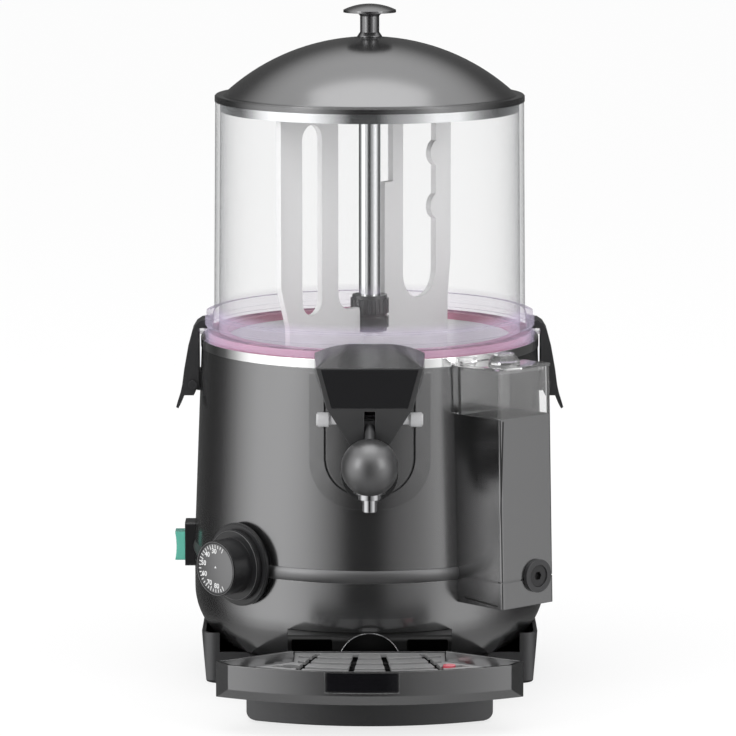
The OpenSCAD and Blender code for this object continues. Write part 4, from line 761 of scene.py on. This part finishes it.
def outward(angle: float, z: float, radius: float = 0.0) -> Matrix:
    """A frame on the body's side: +Z points outwards, +Y up.

    Args:
        angle: degrees round the axis from the front, towards the right
        z: height
        radius: distance of the frame's origin from the axis

    Returns:
        The matrix from that frame to the model's frame.
    """
    turn = Matrix.Rotation(math.radians(angle), 4, "Z")
    stand = Matrix.Rotation(math.radians(90), 4, "X")
    return turn @ Matrix.Translation((0, 0, z)) @ stand @ Matrix.Translation((0, 0, radius))


def add_cylinder(radius: float, depth: float, at: Matrix, vertices: int = 64) -> bpy.types.Object:
    """Adds a cylinder that stands on a frame's origin and rises along its +Z.

    Args:
        radius: its radius
        depth: its height
        at: the frame
        vertices: its sides

    Returns:
        The cylinder.
    """
    deselect()
    bpy.ops.mesh.primitive_cylinder_add(radius=radius, depth=depth, vertices=vertices)
    obj = bpy.context.object
    obj.matrix_world = at @ Matrix.Translation((0, 0, depth / 2))
    return obj


def add_ring(radius: float, section: float, steps: int, at: Matrix) -> bpy.types.Object:
    """Adds a ring round a frame's origin, in its XY plane.

    Args:
        radius: radius of the ring
        section: radius of its section
        steps: its pieces round
        at: the frame

    Returns:
        The ring.
    """
    deselect()
    bpy.ops.mesh.primitive_torus_add(major_radius=radius, minor_radius=section, major_segments=steps,
                                     minor_segments=10)
    obj = bpy.context.object
    obj.matrix_world = at
    return obj


def add_box(size: Iterable[float], at: Matrix) -> bpy.types.Object:
    """Adds a box.

    Args:
        size: its three sides
        at: the frame whose origin it is centred on

    Returns:
        The box.
    """
    deselect()
    bpy.ops.mesh.primitive_cube_add(size=1)
    obj = bpy.context.object
    obj.matrix_world = at @ Matrix.Diagonal((*size, 1))
    return obj


def copy_of(obj: bpy.types.Object, at: Matrix) -> bpy.types.Object:
    """Copies a piece with a mesh of its own.

    Args:
        obj: the piece
        at: the copy's frame

    Returns:
        The copy.
    """
    twin = obj.copy()
    twin.data = obj.data.copy()
    twin.matrix_world = at
    bpy.context.collection.objects.link(twin)
    return twin


def turn_wedge(size: tuple[float, float], at: tuple[float, float], first: float, last: float,
               steps: int) -> bpy.types.Object:
    """Turns a small upright rectangle about the machine's axis into a curved bar.

    Args:
        size: thickness and height of the rectangle
        at: distance from the axis and height of its middle
        first: degrees from the front, towards the right, where the bar starts
        last: where it ends
        steps: number of its pieces

    Returns:
        The bar, closed and smooth.
    """
    deselect()
    bpy.ops.mesh.primitive_plane_add(size=1)
    obj = bpy.context.object
    obj.matrix_world = (Matrix.Rotation(math.radians(first), 4, "Z") @ Matrix.Translation((0, -at[0], at[1]))
                        @ Matrix.Rotation(math.radians(90), 4, "Y") @ Matrix.Diagonal((size[1], size[0], 1, 1)))
    settle(obj)
    bpy.ops.object.mode_set(mode="EDIT")
    bpy.ops.mesh.select_all(action="SELECT")
    bpy.ops.mesh.spin(steps=steps, angle=math.radians(first - last), center=(0, 0, 0), axis=(0, 0, 1))
    bpy.ops.object.mode_set(mode="OBJECT")
    return finish_mesh(obj)


def join(objects: list[bpy.types.Object]) -> bpy.types.Object:
    """Joins meshes into the first one.

    Args:
        objects: the meshes

    Returns:
        The joined object.
    """
    for obj in objects:
        settle(obj)
    deselect()
    for obj in objects:
        obj.select_set(True)
    bpy.context.view_layer.objects.active = objects[0]
    bpy.ops.object.join()
    return bpy.context.object


@dataclass
class CadSurfaces:
    """The CAD nodes, which keep their meshes and get better finishes."""

    finishes: dict[Finish, tuple[str, ...]] = field(default_factory=lambda: CAD_FINISHES)

    def build(self, nodes: dict[str, bpy.types.Object]) -> None:
        """Assigns each node's finish and reports any node that has none.

        Args:
            nodes: each node's object by its name
        """
        left = set(nodes)
        for finish, names in self.finishes.items():
            for name in names:
                obj = nodes[name]
                material = finish.build()
                if not obj.material_slots:
                    obj.data.materials.append(material)
                for slot in obj.material_slots:
                    slot.material = material
                left.discard(name)
                LOG.info("node %s: %s", name, finish.name)
        if left:
            LOG.warning("no finish for %s", sorted(left))


@dataclass
class Thermostat:
    """Print on the dial: its disc, its ticks, its numbers and its pointer mark.

    Args:
        angle: degrees round the axis at which the dial faces
        height: height of the dial's middle
        face: distance of the dial's face from the axis
        radius: radius of the dial's disc
        disc_depth: thickness of the disc
        disc_sides: its sides, and those of the rims
        disc_round: width of its rounded edge
        print_gap: how far the print lies over the face
        print_depth: half the thickness of the numbers
        ticks: number of ticks
        long_each: every how many ticks one is longer
        long_factor: how much longer it is
        tick_span: turn of the first and of the last tick, in degrees
        tick_ring: outer end of the ticks, as a share of the radius
        tick: length, width and depth of a tick
        tick_round: width of its rounded edges
        numbers: each number and its turn in degrees
        number_size: size of the numbers
        number_ring: their ring, as a share of the radius
        pointer: radius and depth of the pointer mark
        pointer_round: width of its rounded edges
        pointer_place: its place on the face
        rims: name, radius and distance from the axis of each soft ring
        rim_radius: radius of a ring's section
        rim_flat: how flat that section is
    """

    angle: float = -45.0
    height: float = 0.108
    face: float = 0.1759
    radius: float = 0.0203
    disc_depth: float = 0.0003
    disc_sides: int = 96
    disc_round: float = 0.0001
    print_gap: float = 0.0004
    print_depth: float = 0.0001
    ticks: int = 26
    long_each: int = 5
    long_factor: float = 1.5
    tick_span: tuple[float, float] = (62.0, 300.0)
    tick_ring: float = 0.96
    tick: tuple[float, float, float] = (0.0026, 0.00075, 0.0002)
    tick_round: float = 0.00008
    numbers: tuple[tuple[str, float], ...] = (("30", 96), ("40", 132), ("50", 168), ("60", 204), ("70", 240),
                                              ("80", 276))
    number_size: float = 0.0058
    number_ring: float = 0.70
    pointer: tuple[float, float] = (0.0013, 0.0002)
    pointer_round: float = 0.00005
    pointer_place: tuple[float, float, float] = (0, 0.001, 0.0003)
    rims: tuple[tuple[str, float, float], ...] = (("dial_rim", 0.0217, 0.17645), ("flange_rim", 0.0282, 0.15695))
    rim_radius: float = 0.00025
    rim_flat: float = 0.7

    def frame(self) -> Matrix:
        """The frame on the dial's face."""
        return outward(self.angle, self.height, self.face)

    def place(self, obj: bpy.types.Object, name: str, finish: Finish, slot: str) -> None:
        """Attaches a piece to the dial."""
        place_piece(obj, name, finish, "thermostat_dial")

    def build_face(self) -> None:
        """The dark metallic disc in the knob's end, with its edge rounded."""
        disc = add_cylinder(self.radius, self.disc_depth, self.frame(), self.disc_sides)
        bevel(settle(disc), self.disc_round)
        self.place(finish_mesh(disc), "dial_disc", DIAL, "black_plastic")

    def build_ticks(self) -> None:
        """A ring of short ticks, with every fifth one longer."""
        first = settle(add_box(self.tick, Matrix.Identity(4)))
        bevel(first, self.tick_round)
        start, end = self.tick_span
        marks = []
        for i in range(self.ticks):
            turn = math.radians(start + (end - start) * i / (self.ticks - 1))
            longer = self.long_factor if i % self.long_each == 0 else 1.0
            out = self.radius * self.tick_ring - self.tick[0] * longer / 2
            at = self.frame() @ Matrix.Rotation(turn, 4, "Z") @ Matrix.Translation((out, 0, self.print_gap))
            marks.append(copy_of(first, at @ Matrix.Diagonal((longer, 1, 1, 1))))
        bpy.data.objects.remove(first)
        self.place(join(marks), "dial_ticks", MARK, "pin_plastic")

    def build_numbers(self) -> None:
        """Plain numbers round the dial, each upright."""
        texts = []
        ring = self.radius * self.number_ring
        for text, degrees in self.numbers:
            deselect()
            bpy.ops.object.text_add()
            obj = bpy.context.object
            obj.data.body = text
            obj.data.size = self.number_size
            obj.data.offset = obj.data.extrude = self.print_depth
            obj.data.align_x = obj.data.align_y = "CENTER"
            obj.data.resolution_u = 3
            turn = math.radians(degrees)
            place = (ring * math.cos(turn), ring * math.sin(turn), self.print_gap)
            obj.matrix_world = self.frame() @ Matrix.Translation(place)
            activate(obj)
            bpy.ops.object.convert(target="MESH")
            texts.append(bpy.context.object)
        self.place(join(texts), "dial_numbers", MARK, "pin_plastic")

    def build_pointer(self) -> None:
        """A small triangle in the middle of the dial."""
        mark = add_cylinder(*self.pointer, self.frame() @ Matrix.Translation(self.pointer_place), 3)
        bevel(settle(mark), self.pointer_round)
        self.place(finish_mesh(mark), "dial_pointer", MARK, "pin_plastic")

    def build_rims(self) -> None:
        """The soft rings round the dial and round its flange."""
        for name, radius, distance in self.rims:
            at = outward(self.angle, self.height, distance) @ Matrix.Diagonal((1, 1, self.rim_flat, 1))
            ring = add_ring(radius, self.rim_radius, self.disc_sides, at)
            self.place(finish_mesh(ring, 60), name, DIAL, "black_plastic")

    def build(self) -> None:
        """Builds everything on the dial."""
        self.build_face()
        self.build_ticks()
        self.build_numbers()
        self.build_pointer()
        self.build_rims()


@dataclass
class Dock:
    """The bright arch on the dock's face, which is painted black as shade.

    Args:
        front: distance of the face from the axis
        middle_z: height of the arch's middle
        radius: radius of the arch
        wire: radius of its section
        flat: how flat that section is
        end_z: height at which the arch ends
    """

    front: float = 0.1554
    middle_z: float = 0.036
    radius: float = 0.0251
    wire: float = 0.0003
    flat: float = 0.8
    end_z: float = 0.0400

    def build(self) -> None:
        """Cuts a ring to the arch over the tray."""
        at = outward(0, self.middle_z, self.front) @ Matrix.Diagonal((1, 1, self.flat, 1))
        arch = settle(add_ring(self.radius, self.wire, 120, at))
        bpy.ops.object.mode_set(mode="EDIT")
        bpy.ops.mesh.select_all(action="SELECT")
        bpy.ops.mesh.bisect(plane_co=(0, 0, self.end_z), plane_no=(0, 0, 1), use_fill=True, clear_inner=True)
        place_piece(finish_mesh(arch), "dock_arch", DARK_CHROME, ROOT)


@dataclass
class FillerSeam:
    """The dark gap along the filler's inner corner and under its side.

    Args:
        angle: degrees round the axis at which the filler faces
        lean: how far it leans with the body, in degrees
        half_w: half its width
        face: distance of its face from the axis, at the height where it starts to lean
        pivot_z: that height
        low_z: height of its lower end
        top_z: height of its upper end
        top_gap: how much shorter the upright strip is
        side_depth: length of the strip on the side
        side_rise: height of that strip over the lower end
        width: width of the strips
        thick: thickness of the strips
        round_edge: width of their rounded edges
    """

    angle: float = 40.0
    lean: float = 1.7
    half_w: float = 0.0275
    face: float = 0.195
    pivot_z: float = 0.180
    low_z: float = 0.083
    top_z: float = 0.2365
    top_gap: float = 0.002
    side_depth: float = 0.040
    side_rise: float = 0.0022
    width: float = 0.0014
    thick: float = 0.0003
    round_edge: float = 0.0001

    def frame(self) -> Matrix:
        """The filler's own frame: leaned about its face, then turned to its side of the body."""
        about = Matrix.Translation((0, -self.face, self.pivot_z))
        lean = about @ Matrix.Rotation(math.radians(self.lean), 4, "X") @ about.inverted()
        return Matrix.Rotation(math.radians(self.angle), 4, "Z") @ lean

    def strip(self, size: tuple[float, float, float], place: tuple[float, float, float]) -> bpy.types.Object:
        """Adds a strip with rounded edges.

        Args:
            size: its three sides
            place: its middle in the filler's frame

        Returns:
            The strip.
        """
        piece = settle(add_box(size, self.frame() @ Matrix.Translation(place)))
        bevel(piece, self.round_edge)
        return piece

    def build(self) -> None:
        """Adds the upright strip on the front and the flat one on the side."""
        upright = self.strip((self.width, self.thick, self.top_z - self.low_z - self.top_gap),
                             (self.width / 2 - self.half_w, -self.face, (self.low_z + self.top_z) / 2))
        side = self.strip((self.thick, self.side_depth, self.width),
                          (-self.half_w, self.side_depth / 2 - self.face, self.low_z + self.side_rise))
        place_piece(finish_mesh(join([upright, side])), "filler_seam", SEAM, ROOT)


@dataclass
class TrayInset:
    """The black plate in the tray's front.

    Args:
        radius: distance of the plate's middle from the axis
        thick: its thickness
        height: its height
        middle: height of its middle
        first: degrees from the front where it starts
        last: where it ends
        round_edge: width of its rounded edges
    """

    radius: float = 0.26545
    thick: float = 0.0008
    height: float = 0.0152
    middle: float = 0.046
    first: float = -7.4
    last: float = 4.8
    round_edge: float = 0.0003

    def build(self) -> None:
        """Turns the plate and rounds its edges."""
        plate = turn_wedge((self.thick, self.height), (self.radius, self.middle), self.first, self.last, 24)
        bevel(plate, self.round_edge)
        place_piece(finish_mesh(plate), "tray_inset", GLOSS_BLACK, "tray")


@dataclass(frozen=True)
class SoftBox:
    """A rectangular area light that faces the middle of the machine.

    Args:
        name: its name
        place: where it stands
        size: its width and height
        power: its power in watts
        aim: the point that it faces
    """

    name: str
    place: RGB
    size: tuple[float, float]
    power: float
    aim: tuple[float, float, float] = (0, 0, 0.28)

    def build(self) -> None:
        """Adds the light."""
        deselect()
        bpy.ops.object.light_add(type="AREA", location=self.place)
        light = bpy.context.object
        light.name = self.name
        light.data.shape = "RECTANGLE"
        light.data.size, light.data.size_y = self.size
        light.data.energy = self.power
        light.rotation_euler = (Vector(self.aim) - Vector(self.place)).to_track_quat("-Z", "Y").to_euler()


@dataclass
class Studio:
    """A white sweep, soft light from the sides and the camera that the photograph was taken with.

    Args:
        target_z: height that the camera looks at
        pitch: how far it looks down, in degrees
        distance: its distance from that point
        lens: its focal length, in millimetres
        sensor: width of its sensor, in millimetres
        shift_x: its sideways shift
        far: how far it sees
        floor_size: side of the floor
        backdrop: colour of the floor
        backdrop_rough: its roughness
        glow: how much of the floor the camera sees as plain white
        walls: brightness of the sweep at each angle from the front, in degrees
        roof: brightness over the sweep, with the heights between which it starts
        ground: brightness under the sweep, with the heights between which it starts
        lights: the soft boxes
    """

    target_z: float = 0.253
    pitch: float = 8.7
    distance: float = 3.570
    lens: float = 210.0
    sensor: float = 36.0
    shift_x: float = -0.0023
    far: float = 100.0
    floor_size: float = 30.0
    backdrop: RGB = (0.88, 0.88, 0.88)
    backdrop_rough: float = 0.9
    glow: float = 0.75
    walls: tuple[tuple[float, float], ...] = (
        (-180, 0.12), (-150, 0.08), (-130, 0.04), (-116, 0.10), (-104, 0.50), (-94, 1.0), (-80, 1.45),
        (-60, 1.45), (-45, 1.2), (-34, 0.85), (-22, 0.40), (-14, 0.03), (6, 0.03), (15, 0.30),
        (30, 0.50), (40, 0.70), (52, 1.1), (72, 1.15), (86, 0.60), (98, 0.26), (114, 0.06), (150, 0.08),
        (180, 0.12))
    roof: tuple[float, float, float] = (1.35, 0.42, 0.80)
    ground: tuple[float, float, float] = (0.45, -0.30, -0.75)
    lights: tuple[SoftBox, ...] = (
        SoftBox("soft_left", (-1.9, -1.7, 1.1), (0.9, 1.5), 14),
        SoftBox("soft_right", (1.9, -1.7, 1.1), (0.9, 1.5), 11),
        SoftBox("soft_top", (0, -0.2, 2.3), (1.6, 1.6), 12))

    def build_floor(self) -> None:
        """A wide white floor that keeps the machine's shadow and that mirrors don't show."""
        deselect()
        bpy.ops.mesh.primitive_plane_add(size=self.floor_size)
        floor = bpy.context.object
        floor.name = "studio_floor"
        mat = bpy.data.materials.new("studio_floor")
        mat.use_nodes = True
        tree = mat.node_tree
        shader = tree.nodes["Principled BSDF"]
        shader.inputs["Base Color"].default_value = (*self.backdrop, 1)
        shader.inputs["Roughness"].default_value = self.backdrop_rough
        shader.inputs["Specular IOR Level"].default_value = 0.0
        white = tree.nodes.new("ShaderNodeEmission")
        beyond = tree.nodes.new("ShaderNodeBsdfTransparent")
        path = tree.nodes.new("ShaderNodeLightPath")
        part = add_math(tree, "MULTIPLY", seen_straight(tree, path), self.glow)
        shade = mix_shaders(tree, part, shader.outputs[0], white.outputs[0])
        mirrored = mix_shaders(tree, path.outputs["Is Glossy Ray"], shade, beyond.outputs[0])
        feed(tree, mirrored, tree.nodes["Material Output"].inputs["Surface"])
        floor.data.materials.append(mat)
        floor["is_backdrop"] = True

    def build_world(self) -> None:
        """White for the camera; for the machine, pale walls with a dark gap in front and darker corners behind."""
        world = bpy.data.worlds.new("studio")
        bpy.context.scene.world = world
        world.use_nodes = True
        tree = world.node_tree
        x, y, z = split_axes(tree, tree.nodes.new("ShaderNodeTexCoord").outputs["Generated"])
        around = add_math(tree, "ARCTAN2", x, add_math(tree, "MULTIPLY", y, -1.0))
        ramp = tree.nodes.new("ShaderNodeValToRGB")
        feed(tree, add_math(tree, "MULTIPLY_ADD", around, 1 / math.tau, 0.5), ramp.inputs["Fac"])
        stops = ramp.color_ramp.elements
        while len(stops) < len(self.walls):
            stops.new(0.5)
        for stop, (angle, level) in zip(stops, self.walls):
            stop.position = angle / 360 + 0.5
            stop.color = (level, level, level, 1)
        shades = ramp.outputs["Color"]
        for level, start, end in (self.roof, self.ground):
            shades = mix_color(tree, add_range(tree, z, start, end, kind="SMOOTHSTEP"), shades, (level,) * 3)
        lit = tree.nodes["Background"]
        feed(tree, shades, lit.inputs["Color"])
        seen = tree.nodes.new("ShaderNodeBackground")
        seen.inputs["Color"].default_value = (1, 1, 1, 1)
        mask = seen_straight(tree, tree.nodes.new("ShaderNodeLightPath"))
        feed(tree, mix_shaders(tree, mask, lit.outputs[0], seen.outputs[0]),
             tree.nodes["World Output"].inputs["Surface"])

    def build_camera(self) -> None:
        """The camera in front of the machine, a little above it."""
        deselect()
        tilt = math.radians(self.pitch)
        place = (0.0, -self.distance * math.cos(tilt), self.target_z + self.distance * math.sin(tilt))
        bpy.ops.object.camera_add(location=place, rotation=(math.pi / 2 - tilt, 0, 0))
        camera = bpy.context.object
        camera.data.lens = self.lens
        camera.data.sensor_width = self.sensor
        camera.data.shift_x = self.shift_x
        camera.data.clip_end = self.far
        bpy.context.scene.camera = camera

    def build(self) -> None:
        """Builds the whole studio."""
        bpy.context.scene.view_settings.view_transform = "Standard"
        self.build_camera()
        self.build_world()
        self.build_floor()
        for light in self.lights:
            light.build()


def box_of(bounds: Iterable[Iterable[float]]) -> list[list[float]]:
    """Returns a box's two corners as plain numbers."""
    return [list(map(float, corner)) for corner in bounds]


def main() -> dict[str, list[list[float]]]:
    """Builds the scene in order.

    Returns:
        The CAD model's box, as loaded.
    """
    logging.basicConfig(level=logging.INFO, format="%(message)s")
    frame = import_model()
    sizes = {"cad": box_of(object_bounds())}
    Studio().build()
    CadSurfaces().build(frame["nodes"])
    Thermostat().build()
    TrayInset().build()
    Dock().build()
    FillerSeam().build()
    return sizes


def write_sizes(sizes: dict[str, list[list[float]]]) -> None:
    """Adds the finished model's box next to the CAD model's box."""
    sizes["visual"] = box_of(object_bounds())


if __name__ == "__main__":
    write_sizes(main())
